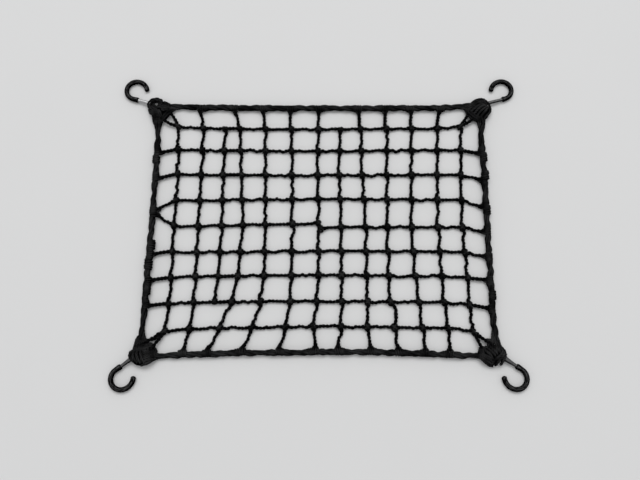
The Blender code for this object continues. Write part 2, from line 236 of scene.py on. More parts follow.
def tube_rings(node, axis):
    """The middle and radius of each ring of a tube, sorted along an axis."""
    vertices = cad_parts[node].data.vertices
    corners = {tuple(round(value, 6) for value in vert.co) for vert in vertices}
    rings = []
    for corner in sorted(corners, key=lambda corner: corner[axis]):
        if not rings or corner[axis] - rings[-1][-1][axis] > RING_STEP:
            rings.append([])
        rings[-1].append(Vector(corner))
    boxes = [(Vector(map(min, *ring)), Vector(map(max, *ring))) for ring in rings]
    return [((low + high) / 2, max(high - low) / 2) for low, high in boxes]


names = sorted(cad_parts)
down_lines = {name: [middle for middle, _ in tube_rings(name, Y)]
              for name in names if name.startswith("down_")}
across_lines = {name: [middle for middle, _ in tube_rings(name, X)]
                for name in names if name.startswith("across_")}
rope_rings = {name: tube_rings(name, X if name in ("rope_top", "rope_bottom") else Y)
              for name in names if name.startswith("rope_")}
print(len(down_lines), "down,", len(across_lines), "across,", len(rope_rings), "ropes")

# %% [markdown]
# ## Crossings and hitches
# Two cords are knotted wherever a point of a down cord's line lies on a point of an across cord's.
# A down cord that ends on an across cord runs a little past it, so its end may be that far away. A
# rope is thick where a cord is hitched to it, and the hitch's own direction is the rope's there.
# Both lists are found from the lines, so that no knot can be forgotten or tied beside its cords.

# %% Find the crossings and the hitches
SAME_PLACE = 0.3 * MM
TAIL = 2.7 * MM                 # how far an end runs past its crossing, at most
HITCHED = 3.85 * MM             # a rope's ring larger than this is under a hitch


def meets(line, k, place):
    """Whether a point of a down cord's line lies on this place, or is an end that just passes it."""
    reach = TAIL if k in (0, len(line) - 1) else SAME_PLACE
    apart = line[k].xy - place.xy
    return abs(apart.x) < SAME_PLACE and abs(apart.y) < reach


crossings = []
for down, line in down_lines.items():
    for across, other in across_lines.items():
        for place in other:
            if any(meets(line, k, place) for k in range(len(line))):
                ends_here = any(meets(line, k, place) for k in (0, len(line) - 1))
                crossings.append((place.xy.copy(), down, across, ends_here))

hitches = []
for name, rings in rope_rings.items():
    for k, (middle, radius) in enumerate(rings):
        if radius > HITCHED:
            hitches.append((middle, (rings[k + 1][0] - rings[k - 1][0]).normalized()))
print(len(crossings), "crossings,", len(hitches), "hitches")

# %% [markdown]
# ## What a finish can read
# A grain of yarns or scratches has to follow each strand and wire. Every strand is given three
# values when it is made: how far along it a point is, where it is on the round, and how far up it
# faces, which sets where a highlight is painted on it.
# The place on the round is stored as its cosine and sine, which meet without a seam.

# %% Helpers for the finishes
def on_strand(nodes):
    """For a finish: the place, how far along, the spot on its round, and the painted highlight."""
    place = nodes.add("ShaderNodeTexCoord")["Object"]
    along, spot, worn = (nodes.add("ShaderNodeAttribute", attribute_name=name)
                         for name in ("along", "round", "worn"))
    return place, along["Fac"], nodes.split(spot["Vector"]), worn["Fac"]


def grey(tone, blue):
    return tone, tone, blue, 1.0


def join_finish(nodes, shader, dark, highlight_tone, share, rough, height, depth, strength):
    """Join up a finish: two tones and the share of the second, the roughness, and the bump."""
    colour = nodes.add("ShaderNodeMixRGB", {"Fac": share, "Color1": dark, "Color2": highlight_tone})[0]
    bumps = {"Height": height, "Distance": depth, "Strength": strength}
    normal = nodes.add("ShaderNodeBump", bumps)["Normal"]
    for name, value in (("Base Color", colour), ("Roughness", rough), ("Normal", normal)):
        nodes.tree.links.new(value, shader.inputs[name])


BLACK = grey(0.0008, 0.0009)
print("black:", BLACK)

# %% [markdown]
# ## Black fibre
# Cord and rope are spun from matt black yarn. Their specular is off, and what little light they
# give back is painted into the colour of the fine yarns that wind round each strand. A plain black
# would look like plastic, and a picture of yarn wrapped round each strand would blur close up, so
# the yarns are worked out: the arctangent turns the place on the round into an angle, and the ribs
# are a sine of that angle and of the length. The crowns of the yarns that face up get a paler tone
# as a painted highlight, with painted shade in the valleys between them, and more in patches.

# %% Spin the yarn
FUZZ_SHARE = 0.55               # how high the fuzz stands, as a share of a rib
VALLEY_HIGHLIGHT = 0.35              # the share of the painted highlight in a valley between two yarns, from 0 to 1
CROWN_HIGHLIGHT = 0.8                # and how much more of it a crown gets


def black_fibre(name, yarns, pitch, depth, highlight_tone):
    """Slanted yarns: how many round a strand, how far one runs in a turn, how deep, and the tone of
    the painted highlight.
    """
    material, nodes, shader = new_material(name)
    place, along, spot, worn = on_strand(nodes)
    angle = nodes.maths("ARCTAN2", spot["Y"], spot["X"])
    turns = nodes.maths("MULTIPLY", along, math.tau / pitch)
    turned = nodes.maths("MULTIPLY_ADD", angle, float(yarns), turns)
    rib = nodes.maths("MULTIPLY_ADD", nodes.maths("SINE", turned), 0.5, 0.5)
    fuzz = nodes.noise(place, scale=1400.0, detail=4.0, roughness=0.65)["Fac"]
    patchy = nodes.ramp(nodes.noise(place, scale=90.0, detail=2.0)["Fac"], 0.35, 0.65, to_low=0.25)
    # Painted highlight and shade: a yarn's crown gets a paler tone than the valleys beside it.
    crown = nodes.maths("MULTIPLY", nodes.maths("POWER", rib, 2.0), fuzz)
    crown = nodes.maths("MULTIPLY_ADD", crown, CROWN_HIGHLIGHT, VALLEY_HIGHLIGHT)
    # Only what faces up gets that paler tone, more in patches: a painted highlight.
    share = nodes.maths("MULTIPLY", nodes.maths("MULTIPLY", crown, worn), patchy)
    rough = nodes.ramp(fuzz, 0.3, 0.7, to_low=0.62, to_high=0.86)
    height = nodes.maths("MULTIPLY_ADD", fuzz, FUZZ_SHARE, rib)
    join_finish(nodes, shader, BLACK, grey(highlight_tone, highlight_tone + 0.001), share, rough, height, depth,
                strength=0.9)
    shader.inputs["Specular IOR Level"].default_value = 0.0
    return material


# The three differ in their yarns and in the tone of their painted highlight.
cord_fibre = black_fibre("cord_fibre", yarns=7, pitch=6.0 * MM, depth=0.10 * MM, highlight_tone=0.014)
knot_fibre = black_fibre("knot_fibre", yarns=7, pitch=9.0 * MM, depth=0.12 * MM, highlight_tone=0.085)
rope_fibre = black_fibre("rope_fibre", yarns=9, pitch=26.0 * MM, depth=0.14 * MM, highlight_tone=0.046)
print("fibre:", cord_fibre.name, knot_fibre.name, rope_fibre.name)

# %% [markdown]
# ## The rope-maker's tree
# A twisted cord is a few strands wound round a shared line. One thick tube with the strands painted
# on would have a smooth outline, and against a pale floor it is the outline that shows. Sweeping a
# circle along a curve gives one strand, so the tree does what a rope walk does, in four steps. All
# of them are Geometry Nodes, because the same steps then make the mesh cords, the ropes, the
# hitches and the lashings from nothing but their lines. Each point of a line has two values of its
# own: its girth scales the whole cord there, and its slack says how far it is free to wander.

# %% Helpers for Geometry Nodes
def new_geometry_tree(name, inputs):
    """Nodes with named inputs: themselves, the inputs' values, and the socket for the result."""
    tree = bpy.data.node_groups.new(name, "GeometryNodeTree")
    tree.is_modifier = True
    for label, kind in {"Geometry": "Geometry", **inputs}.items():
        tree.interface.new_socket(label, in_out="INPUT", socket_type="NodeSocket" + kind)
    tree.interface.new_socket("Geometry", in_out="OUTPUT", socket_type="NodeSocketGeometry")
    source = tree.nodes.new("NodeGroupInput").outputs
    return Nodes(tree), source, tree.nodes.new("NodeGroupOutput").inputs["Geometry"]


def named(nodes, label):
    """A number that each point carries."""
    made = nodes.add("GeometryNodeInputNamedAttribute", {"Name": label}, data_type="FLOAT")
    return made["Attribute"]


def store(nodes, geometry, label, value, kind="FLOAT"):
    """Write a value on each point under a name."""
    inputs = {"Geometry": geometry, "Name": label, "Value": value}
    made = nodes.add("GeometryNodeStoreNamedAttribute", inputs, data_type=kind, domain="POINT")
    return made["Geometry"]


ROPE_WALK_INPUTS = {
    "Step": "Float", "Strands": "Int", "Strand radius": "Float", "Offset": "Float", "Lay": "Float",
    "Sides": "Int", "Wander": "Float", "Wander size": "Float", "Uneven": "Float", "Seed": "Float",
    "Finish": "Material"}
walk, source, result = new_geometry_tree("rope_walk", ROPE_WALK_INPUTS)
print("rope walk:", len(ROPE_WALK_INPUTS), "inputs")

# %% [markdown]
# ### First step: the line
# The points are joined by a rounded curve, which is cut into even steps. Noise then pushes each
# step sideways, never up or down, as far as its slack allows. The fourth dimension of the noise is
# the seed, so that two kinds of cord in the same place wander differently.

# %% Round off the line and let it wander
ROUNDING = 10                   # how many straight pieces the curve has between two points
FULL_WANDER = 4.0               # the noise mostly swings by a quarter, and this makes that a whole

line = walk.add("GeometryNodeMeshToCurve", {"Mesh": source["Geometry"]})["Curve"]
line = walk.add("GeometryNodeCurveSplineType", {"Curve": line}, spline_type="CATMULL_ROM")["Curve"]
line = walk.add("GeometryNodeSetSplineResolution",
                {"Geometry": line, "Resolution": ROUNDING})["Geometry"]
line = walk.add("GeometryNodeResampleCurve", {"Curve": line, "Length": source["Step"]},
                mode="LENGTH")["Curve"]
place = walk.add("GeometryNodeInputPosition")["Position"]
grain = walk.maths("DIVIDE", 1.0, source["Wander size"])
drift = walk.noise(place, scale=grain, detail=1.0, w=source["Seed"])["Color"]
drift = walk.vector("SUBTRACT", drift, (0.5, 0.5, 0.5))
drift = walk.vector("MULTIPLY", drift, (1.0, 1.0, 0.0))
amount = walk.maths("MULTIPLY", walk.maths("MULTIPLY", source["Wander"], FULL_WANDER),
                    named(walk, "slack"))
line = walk.add("GeometryNodeSetPosition",
                {"Geometry": line, "Offset": walk.vector("SCALE", drift, amount)})["Geometry"]
line = store(walk, line, "along", walk.add("GeometryNodeSplineParameter")["Length"])
print("line:", len(walk.tree.nodes), "nodes")

# %% [markdown]
# ### Second step: the strands
# The line is copied once for each strand. Each copy is pushed off it in a direction that turns with
# the length, once in every lay, and the copies start evenly spaced round the line.

# %% Wind the strands
copies = walk.add("GeometryNodeDuplicateElements",
                  {"Geometry": line, "Amount": source["Strands"]}, domain="SPLINE")
number = copies["Duplicate Index"]
parts = (named(walk, "along"), source["Lay"]), (number, source["Strands"])
turn, share = (walk.maths("MULTIPLY", walk.maths("DIVIDE", part, whole), math.tau)
               for part, whole in parts)
angle = walk.maths("ADD", turn, share)
normal = walk.add("GeometryNodeInputNormal")["Normal"]
side = walk.vector("CROSS_PRODUCT", walk.add("GeometryNodeInputTangent")["Tangent"], normal)
push = walk.vector("ADD", walk.vector("SCALE", normal, walk.maths("COSINE", angle)),
                   walk.vector("SCALE", side, walk.maths("SINE", angle)))
reach = walk.maths("MULTIPLY", source["Offset"], named(walk, "girth"))
strands = walk.add("GeometryNodeSetPosition", {
    "Geometry": copies["Geometry"], "Offset": walk.vector("SCALE", push, reach)})["Geometry"]
print("strands:", len(walk.tree.nodes), "nodes")

# %% [markdown]
# ### Third step: the skin
# A circle is swept along each strand, thicker and thinner by a little, with its place on the round
# stored on it. What would sink into the floor is then pressed flat on it.

# %% Sweep the skin
LUMP_SCALE = 330.0              # of the noise that makes it thicker and thinner
FLOOR_GAP = 0.05 * MM           # the least height of anything above the floor

circle = walk.add("GeometryNodeCurvePrimitiveCircle", {"Resolution": source["Sides"], "Radius": 1.0})
circle = store(walk, circle["Curve"], "round", walk.vector("NORMALIZE", place), "FLOAT_VECTOR")
lumps = walk.noise(place, scale=LUMP_SCALE, detail=1.0, w=number)["Fac"]
lumps = walk.maths("SUBTRACT", lumps, 0.5)
lumps = walk.maths("MULTIPLY_ADD", lumps, walk.maths("MULTIPLY", source["Uneven"], 2.0), 1.0)
thick = walk.maths("MULTIPLY", source["Strand radius"], named(walk, "girth"))
skin = walk.add("GeometryNodeCurveToMesh", {
    "Curve": strands, "Profile Curve": circle, "Scale": walk.maths("MULTIPLY", thick, lumps),
    "Fill Caps": True})["Mesh"]
skin = walk.add("GeometryNodeSetShadeSmooth", {"Geometry": skin})["Geometry"]
where = walk.split(place)
pressed = walk.join(where["X"], where["Y"], walk.maths("MAXIMUM", where["Z"], FLOOR_GAP))
skin = walk.add("GeometryNodeSetPosition", {"Geometry": skin, "Position": pressed})["Geometry"]
print("skin:", len(walk.tree.nodes), "nodes")

# %% [markdown]
# ### Last step: the painted highlight
# The finishes paint a paler tone on whatever faces up, as a highlight from the light above, so each
# point is marked with how far up it faces, for the finish to read. The tree ends in Realize
# Instances and Set Material, so that its result is plain geometry with its finish on it.

# %% Mark where the painted highlight goes and close the tree
HIGHLIGHT_FROM = 0.35                # the upward share of a skin's direction at which the painted highlight starts

facing = walk.split(walk.add("GeometryNodeInputNormal")["Normal"])
# How far up each point faces, which is where the finishes paint their highlight.
skin = store(walk, skin, "worn", walk.ramp(facing["Z"], HIGHLIGHT_FROM, 1.0, soft=True))
skin = walk.add("GeometryNodeRealizeInstances", {"Geometry": skin})["Geometry"]
skin = walk.add("GeometryNodeSetMaterial",
                {"Geometry": skin, "Material": source["Finish"]})["Geometry"]
walk.tree.links.new(skin, result)
print("rope walk:", len(walk.tree.nodes), "nodes")

# %% [markdown]
# ## Running the tree
# The lines go in as a mesh of bare edges. An ordinary curve has room for a radius and a tilt on
# each point, and for nothing else, while a mesh can carry values of any name. The tree makes it a
# curve.

# %% Helper for the lines
Point = namedtuple("Point", "place girth slack", defaults=(1.0, 0.0))


def lines_object(lines):
    """A mesh of bare edges. A line is its points and whether it closes on itself."""
    points = [point for line, _ in lines for point in line]
    edges = []
    first = 0
    for line, closed in lines:
        last = first + len(line) - 1
        edges += [(k, k + 1) for k in range(first, last)]
        if closed:
            edges.append((last, first))
        first = last + 1
    shape = bpy.data.meshes.new("lines")
    shape.from_pydata([tuple(point.place) for point in points], edges, [])
    for label in ("girth", "slack"):
        values = shape.attributes.new(label, "FLOAT", "POINT").data
        for k, point in enumerate(points):
            values[k].value = getattr(point, label)
    return linked("lines", shape)


print("a point has", Point._fields)

# %% [markdown]
# ### Kinds of cord
# What differs from one kind of cord to the next is only numbers: how many strands, how thick, how
# long the lay, how even. The strands overlap a little, as they do when they are pressed.

# %% Helper for the kinds of cord
def cord_kind(finish, seed, step, strands, radius, sides, uneven, offset=0.0, lay=1000.0, wander=0.0,
              size=10.0):
    """What the tree needs to know of a kind of cord, with its lengths in mm."""
    lengths = {"Step": step, "Strand radius": radius, "Offset": offset, "Lay": lay,
               "Wander": wander, "Wander size": size}
    kind = {label: length * MM for label, length in lengths.items()}
    return {**kind, "Strands": strands, "Sides": sides, "Uneven": uneven, "Seed": float(seed),
            "Finish": finish}


MESH_CORD = cord_kind(cord_fibre, 3, step=0.95, strands=2, radius=1.09, sides=8, uneven=0.34,
                      offset=1.02, lay=8.4, wander=1.60, size=6.5)
print("mesh cord:", MESH_CORD["Strands"], "strands")

# %% [markdown]
# ### From lines to a piece
# The modifier's inputs are set by each socket's own identifier, because two sockets may share a
# name, and before anything looks at the result. Then the evaluated object is turned into a plain
# mesh, which is the finished piece, and the helper object is removed.

# %% Helper that lays up a piece
def triangles(piece):
    return sum(len(face.vertices) - 2 for face in piece.data.polygons)


def lay_up(name, lines, kind):
    """A finished piece: what the rope-maker's tree makes of the lines, as a plain mesh."""
    source = lines_object(lines)
    modifier = source.modifiers.new("rope_walk", "NODES")
    modifier.node_group = walk.tree
    for item in walk.tree.interface.items_tree:
        if item.item_type == "SOCKET" and item.in_out == "INPUT" and item.name in kind:
            modifier[item.identifier] = kind[item.name]
    ready = source.evaluated_get(bpy.context.evaluated_depsgraph_get())
    shape = bpy.data.meshes.new_from_object(ready)
    shape.name = name
    bpy.data.objects.remove(source, do_unlink=True)
    piece = linked(name, shape)
    print(name, "has", triangles(piece), "triangles")
    return piece


print("the tree needs", sorted(MESH_CORD))

# %% [markdown]
# ## Mesh cords
# Straight lines between the knots would make the net look like wire mesh. A slack cord lies on the
# floor and wanders a little, and at a knot it rises, thickens and leaves on a slightly different
# line than it came in on, because the knot pulls it aside. So each stretch between two stops gets a
# few points of its own: near either end the cord is still high and held, and in the middle it is
# low and slack.

# %% Lead a cord from stop to stop
CORD_LOW = 2.3 * MM             # middle of a cord that lies on the floor
CORD_HIGH = 3.6 * MM            # the same inside a knot
NEAR = 4.2 * MM                 # the knot's edge
AWAY = 9.0 * MM                 # where the cord is down on the floor again
STILL_HIGH = 0.72               # the share of a knot's lift that a cord still has at the knot's edge
FLARE = 1.16                    # girth at a knot's edge
PINCH = 0.85                    # and inside it
HELD = 0.2                      # slack at a knot's edge
ONE_POINT = 2.4 * NEAR          # a stretch shorter than this has only one point
NO_LOW = 2.6 * AWAY             # and one shorter than this never reaches the floor
NO_MIDDLE = 3.2 * AWAY          # and one shorter than this has no point in its middle


def stretch(start, end, shifts):
    """The points between two stops. The cord is pulled aside by some distance at each of them."""
    along = (end - start).xy.to_3d()
    length = along.length
    along.normalize()
    if length < ONE_POINT:
        return [Point((start + end) / 2.0, FLARE, HELD)]
    aside = Vector((along.y, -along.x, 0.0))

    def point(reach, height, shift, *how):
        place = start.xy.to_3d() + along * reach + aside * shift + Vector((0.0, 0.0, height))
        return Point(place, *how)

    edges = (NEAR, start, shifts[0]), (length - NEAR, end, shifts[1])
    first, last = (point(reach, CORD_LOW + STILL_HIGH * (stop.z - CORD_LOW), shift, FLARE, HELD)
                   for reach, stop, shift in edges)
    low = [point(AWAY, CORD_LOW, shifts[0] * 0.5, 1.0, 1.0),
           point(length / 2, CORD_LOW, 0.0, 1.0, 1.0),
           point(length - AWAY, CORD_LOW, shifts[1] * 0.5, 1.0, 1.0)]
    if length < NO_LOW:
        low = []
    elif length < NO_MIDDLE:
        del low[1]
    return [first, *low, last]


edge_height = CORD_LOW + STILL_HIGH * (CORD_HIGH - CORD_LOW)
print("at a knot's edge:", round(edge_height / MM, 2), "mm high")

# %% [markdown]
# ### Into a corner knot
# The outermost cord each way runs into the corner knot. The two cross a little before it, and from
# there on they bow apart, the more the looser the corner is tied. A bow is half a wave of a sine.

# %% Lead a cord into a corner
# By corner: how far from straight its two cords run, and how the knot pulls their ends.
CORNER_BOW = {"top_left": 1.8 * MM, "top_right": 0.9 * MM, "bottom_left": 0.9 * MM,
              "bottom_right": 0.2 * MM}
CORNER_PULL = {"top_left": Vector((-0.8, -0.4, 0.0)) * MM,
               "bottom_right": Vector((-1.6, -1.2, 0.0)) * MM}
# The share of the way, the girth and the slack.
CORNER_POINTS = (0.22, FLARE, HELD), (0.5, 1.0, 0.6), (0.78, 1.0, 0.4)


def corner_of(place):
    return ("top_" if place.y > 0.0 else "bottom_") + ("left" if place.x < 0.0 else "right")


def corner_stretch(start, end, line):
    """The points between a crossing and a corner knot, where the two cords bow apart."""
    along = (end - start).xy.to_3d().normalized()
    aside = Vector((along.y, -along.x, 0.0))
    runs_down = abs((line[-1] - line[0]).y) > abs((line[-1] - line[0]).x)
    inward = Vector((-start.x, 0.0, 0.0)) if runs_down else Vector((0.0, -start.y, 0.0))
    aside *= math.copysign(CORNER_BOW[corner_of(start)], aside.dot(inward))
    return [Point(start.lerp(end, share) + aside * math.sin(math.pi * share), girth, slack)
            for share, girth, slack in CORNER_POINTS]


print("bows:", [round(bow / MM, 1) for bow in CORNER_BOW.values()], "mm")

# %% [markdown]
# ### The stops of a cord
# A stop is a place that the cord has to pass: a crossing, its end at a rope, its end inside a
# corner knot, or a kink in between. A kink close to a crossing is a jog, where the cord runs along
# the other one for a moment and is tied to it twice.

# %% Find the stops of a cord
JOG_REACH = 8.5 * MM            # a kink this near to a crossing is a jog
JOG_BACK = 1.4 * MM             # and is drawn up to it by this much
SQUARE_HEIGHT = 3.8 * MM        # a point next to an end that is higher only squares the tube's end
CORNER_HEIGHT = 5.0 * MM        # only an end in a corner knot is higher than this
INTO_KNOT = 6.0 * MM            # how far cords and ropes run on into a corner knot

jogs = []
crossing_places = [crossing[0] for crossing in crossings]


def stops_of(line):
    """The stops of a cord: the place, the girth there, and what kind of stop it is."""
    stops = []
    for k, place in enumerate(line):
        near = min(crossing_places, key=lambda spot: (spot - place.xy).length)
        apart = place.xy - near
        if abs(apart.x) < SAME_PLACE and abs(apart.y) < TAIL:
            stops.append((Vector((*near, CORD_HIGH)), PINCH, "knot"))
        elif k in (1, len(line) - 2) and place.z > SQUARE_HEIGHT:
            continue
        elif k in (0, len(line) - 1) and place.z > CORNER_HEIGHT:
            inner = line[1] if k == 0 else line[-2]
            into = (place - inner).normalized() * INTO_KNOT
            stops.append((place + into + CORNER_PULL.get(corner_of(place), Vector()), 1.0, "corner"))
        elif k in (0, len(line) - 1):
            stops.append((place, 1.0, "end"))
        else:
            spot, height = place.xy, CORD_LOW
            if apart.length <= JOG_REACH:
                spot, height = spot - Vector((math.copysign(JOG_BACK, apart.x), 0.0)), CORD_HIGH
                jogs.append((spot, line))
            stops.append((Vector((*spot, height)), 1.0, "kink"))
    return stops


print("a cord sinks", round((CORD_HIGH - CORD_LOW) / MM, 1), "mm from a knot to the floor")

# %% [markdown]
# ### From stop to stop
# Each knot pulls its cord aside by its own amount, and the cord comes back on the other side of it.
# The amounts are drawn at random, but from a generator with a fixed seed, so that every run gives
# the same net. The cords of one direction are laid up in one go, since they are all of one kind.

# %% Lay the mesh cords
SKEW = 0.75 * MM                # how far a knot pulls a down cord aside
SKEW_SPREAD = 0.45              # how much that differs from knot to knot, as a share of it
ACROSS_SKEW = 0.3               # the share of it for an across cord

chance = random.Random(11)


def cord_line(line, skew):
    """A mesh cord's points, from stop to stop."""
    stops = stops_of(line)
    pulls = [chance.gauss(1.0, SKEW_SPREAD) * skew if kind == "knot" else 0.0
             for _, _, kind in stops]
    points = []
    for k, (place, girth, kind) in enumerate(stops):
        points.append(Point(place, girth))
        if k + 1 == len(stops):
            break
        after, _, next_kind = stops[k + 1]
        if kind == "corner":
            points += corner_stretch(after, place, line)[::-1]
        elif next_kind == "corner":
            points += corner_stretch(place, after, line)
        else:
            points += stretch(place, after, (pulls[k], -pulls[k + 1]))
    return points, False


cords = [cord_line(line, -SKEW) for line in down_lines.values()]
down_cords = lay_up("down_cords", cords, MESH_CORD)
cords = [cord_line(line, ACROSS_SKEW * SKEW) for line in across_lines.values()]
across_cords = lay_up("across_cords", cords, MESH_CORD)
print(len(jogs), "jogs")

# %% [markdown]
# ## Crossing knots
# At each crossing the two cords are bound together by a turn that runs over both from corner to
# corner, under, and back over the other way, so from above it looks like a cross. A real knot goes
# through the cords as well, but only its outer turns show. One knot is a closed line of ten points
# in its own little frame, with one axis along each of the two cords. The same line, stretched,
# turned and mirrored a little for each crossing, gives them all, and no two come out alike.

# %% Shape a crossing knot
KNOT_REACH = 3.1                # how far a turn reaches along each cord, in mm
TAIL_REACH = 0.45               # the share of it past the end of a cord that stops here
KNOT_SWING = 14.0               # how far a knot may be turned, in degrees
KNOT_STRETCH = (0.88, 1.14)     # how much shorter or longer than usual it may be, each way
CORD_GIRTH = (0.92, 1.10)       # and how much thinner or thicker its cord
# One turn: shares of the reach along the across cord and the down cord, and the height in mm.
KNOT_TURN = [(-0.78, 0.78, 3.0), (-0.35, 0.35, 5.2), (0.35, -0.35, 5.2), (0.78, -0.78, 3.0),
             (0.0, -1.2, 1.7), (-0.78, -0.78, 3.0), (-0.4, -0.4, 6.0), (0.4, 0.4, 6.0),
             (0.78, 0.78, 3.0), (0.0, 1.2, 1.7)]


def any_girth():
    return chance.uniform(*CORD_GIRTH)


def crossing_knot(place, across_way, down_way, past_end):
    """The closed line of one crossing knot. Past_end is 1 or -1 where the down cord stops here."""
    swing = Matrix.Rotation(math.radians(chance.uniform(-KNOT_SWING, KNOT_SWING)), 2)
    across_way = swing @ across_way * KNOT_REACH * MM * chance.uniform(*KNOT_STRETCH)
    down_way = swing @ down_way * KNOT_REACH * MM * chance.uniform(*KNOT_STRETCH)
    mirror = chance.choice((-1.0, 1.0))
    girth = any_girth()
    turn = []
    for across, down, height in KNOT_TURN:
        if down * past_end > 0.0:
            down *= TAIL_REACH
        spot = place + across * mirror * across_way + down * down_way
        turn.append(Point((*spot, height * MM), girth))
    return turn, True


print("a knot's line has", len(KNOT_TURN), "points")

# %% [markdown]
# ### A knot for each crossing
# Each knot is set square to its own two cords, so their directions are taken where they cross. A
# cord that ends here has hardly anything past the knot, so the turn is short on that side. A jog
# gets a second knot, which has one cord to go by and stands square to that.

# %% Tie the crossing knots
KNOT_CORD = cord_kind(knot_fibre, 5, step=1.25, strands=3, radius=0.80, sides=5, uneven=0.15,
                      offset=0.74, lay=8.0)


def heading(line, place):
    """The way a line runs where it passes a place."""
    k = min(range(len(line)), key=lambda i: (line[i].xy - place).length)
    before, after = line[max(k - 1, 0)], line[min(k + 1, len(line) - 1)]
    return (after - before).xy.normalized()


knot_turns = []
for place, down, across, ends_here in crossings:
    line = down_lines[down]
    past_end = 0.0
    if ends_here:
        past_end = -1.0 if (line[0].xy - place).length < (line[-1].xy - place).length else 1.0
    across_way = heading(across_lines[across], place)
    knot_turns.append(crossing_knot(place, across_way, heading(line, place), past_end))
for place, line in jogs:
    across_way = heading(line, place)
    knot_turns.append(crossing_knot(place, across_way, Vector((-across_way.y, across_way.x)), 0.0))
crossing_knots = lay_up("crossing_knots", knot_turns, KNOT_CORD)

# %% [markdown]
# ## Hitches
# A mesh cord is tied to the border by a few turns round the rope, drawn so tight that the rope is
# squeezed under them. Separate rings would look like beads, while one long line keeps the slant of
# a real winding. It runs along the rope to one side, and then back over itself, so the hitch is a
# lump longer than it is thick: a helix round the rope's line, flattened where the rope rests on the
# floor.

# %% Wind the turns of a hitch
HITCH_CORD = cord_kind(knot_fibre, 6, step=1.2, strands=3, radius=0.70, sides=5, uneven=0.18,
                       offset=0.62, lay=7.5, wander=0.3, size=5.0)
TURN_RADIUS = 3.35 * MM         # of the first turns
TURN_OVER = 0.45 * MM           # how much wider the turns are that come back over them
TURN_TAPER = 0.22               # how much narrower they are at the far end
TURNS_OUT = 4
TURNS_BACK = 2
TURNS_END = 0.42                # where the turns end on their way back, as a share of the far reach
HITCH_STEPS = 10                # points in one turn
HITCH_NEAR = 3.4 * MM           # how far the turns reach to the one side of the cord
HITCH_FAR = 7.4 * MM            # and to the other
ROPE_TIED = 4.0 * MM            # height of the rope's middle under a hitch
STRAND_LOW = 1.4 * MM           # the lowest that a turn's middle can lie


def wound(ground, inward, along, far, shift, swell, girth):
    """The turns round the rope, out to the far end and back over themselves."""
    points = []
    steps_out = TURNS_OUT * HITCH_STEPS
    steps = steps_out + TURNS_BACK * HITCH_STEPS
    for k in range(1, steps):
        angle = math.tau * k / HITCH_STEPS
        if k < steps_out:
            reach = -HITCH_NEAR + (far + HITCH_NEAR) * k / steps_out
            radius = TURN_RADIUS
        else:
            reach = far * (1.0 + (TURNS_END - 1.0) * (k - steps_out) / (steps - steps_out))
            radius = TURN_RADIUS + TURN_OVER
        radius *= swell * (1.0 - TURN_TAPER * max(0.0, reach / far) ** 2)
        place = ground + inward * (shift + radius * math.cos(angle)) + along * reach
        height = max(ROPE_TIED + radius * math.sin(angle), STRAND_LOW)
        points.append(Point(place + Vector((0, 0, height)), girth))
    return points


print("turns:", TURNS_OUT, "out and", TURNS_BACK, "back")

# %% [markdown]
# ### The fork of a hitch
# Both ends of the turns run back to the mesh cord, which makes a small fork at the rope's edge, and
# a third leg fills it. A leg is a few points, low and together at the cord and high and apart at
# the turns. Every hitch is wound to a side, a reach and a place of its own, so they look hand tied.

# %% Shape a hitch
TURN_SHIFT = 1.05 * MM          # how far the turns stand towards the mesh
SHIFT_RANGE = (0.4, 1.6)        # the share of that for the loosest and the tightest hitch
FAR_RANGE = (0.70, 1.20)        # and the same for how far the turns reach
# A leg of the fork: out from the rope in mm, along it as a share of the turns' reach, height in mm.
FORK = [(9.4, 0.0, 2.4), (7.3, 0.26, 3.0), (5.5, 0.60, 3.9)]
FORK_MIDDLE = [(8.8, 0.0, 2.4), (6.8, 0.12, 2.8), (5.0, 0.28, 3.4), (3.2, 0.36, 3.8)]


def hitch(middle, along, has_cord=True, shift=TURN_SHIFT, swell=1.0):
    """The lines of one hitch, which starts and ends on its mesh cord."""
    inward = Vector((-along.y, along.x, 0.0)).normalized()
    if inward.dot(middle) > 0:
        inward = -inward
    along = along.xy.to_3d().normalized() * chance.choice((-1.0, 1.0))
    ground = middle.xy.to_3d()
    far = HITCH_FAR * chance.uniform(*FAR_RANGE)
    shift *= chance.uniform(*SHIFT_RANGE)
    girth = any_girth()
    points = wound(ground, inward, along, far, shift, swell, girth)
    if not has_cord:
        return [(points, False)]

    def leg(shape, reach):
        places = (ground + inward * out * MM + along * share * reach + Vector((0, 0, high * MM))
                  for out, share, high in shape)
        return [Point(place, girth) for place in places]

    spread = far * TURNS_END / FORK[-1][1]
    line = leg(FORK, -HITCH_NEAR) + points + leg(FORK, spread)[::-1]
    return [(line, False), (leg(FORK_MIDDLE, spread), False)]


print("out, along and up the fork:", FORK)

# %% [markdown]
# ### Whippings
# In a few places a rope is bound with the same turns, but no cord is tied to it. No rule says
# where, so these are listed one by one. Then all the turns and forks are laid up in one go.

# %% Tie the hitches
# The rope, how far along it in mm, how far the turns stand towards the mesh in mm, and how wide the
# turns are, as a share of those of a hitch.
WHIPPINGS = [
    ("rope_left", -26.5, 2.4, 1.0), ("rope_left", -44.0, 0.3, 1.22), ("rope_left", -80.0, 0.9, 1.08),
    ("rope_right", 86.0, -0.9, 1.06), ("rope_right", 62.5, -0.9, 1.08),
    ("rope_right", 17.5, -0.6, 1.12), ("rope_right", -82.0, -0.5, 1.02),
    ("rope_left", 86.5, 0.0, 1.10)]


def whipping(rope, reach, shift, swell):
    """The lines of a whipping at a place along the left or the right rope."""
    places = [ring[0] for ring in rope_rings[rope]]
    k = next(k for k in range(1, len(places)) if places[k].y > reach * MM)
    share = (reach * MM - places[k - 1].y) / (places[k] - places[k - 1]).y
    middle = places[k - 1].lerp(places[k], share)
    return hitch(middle, (places[k] - places[k - 1]).normalized(), False, shift * MM, swell)


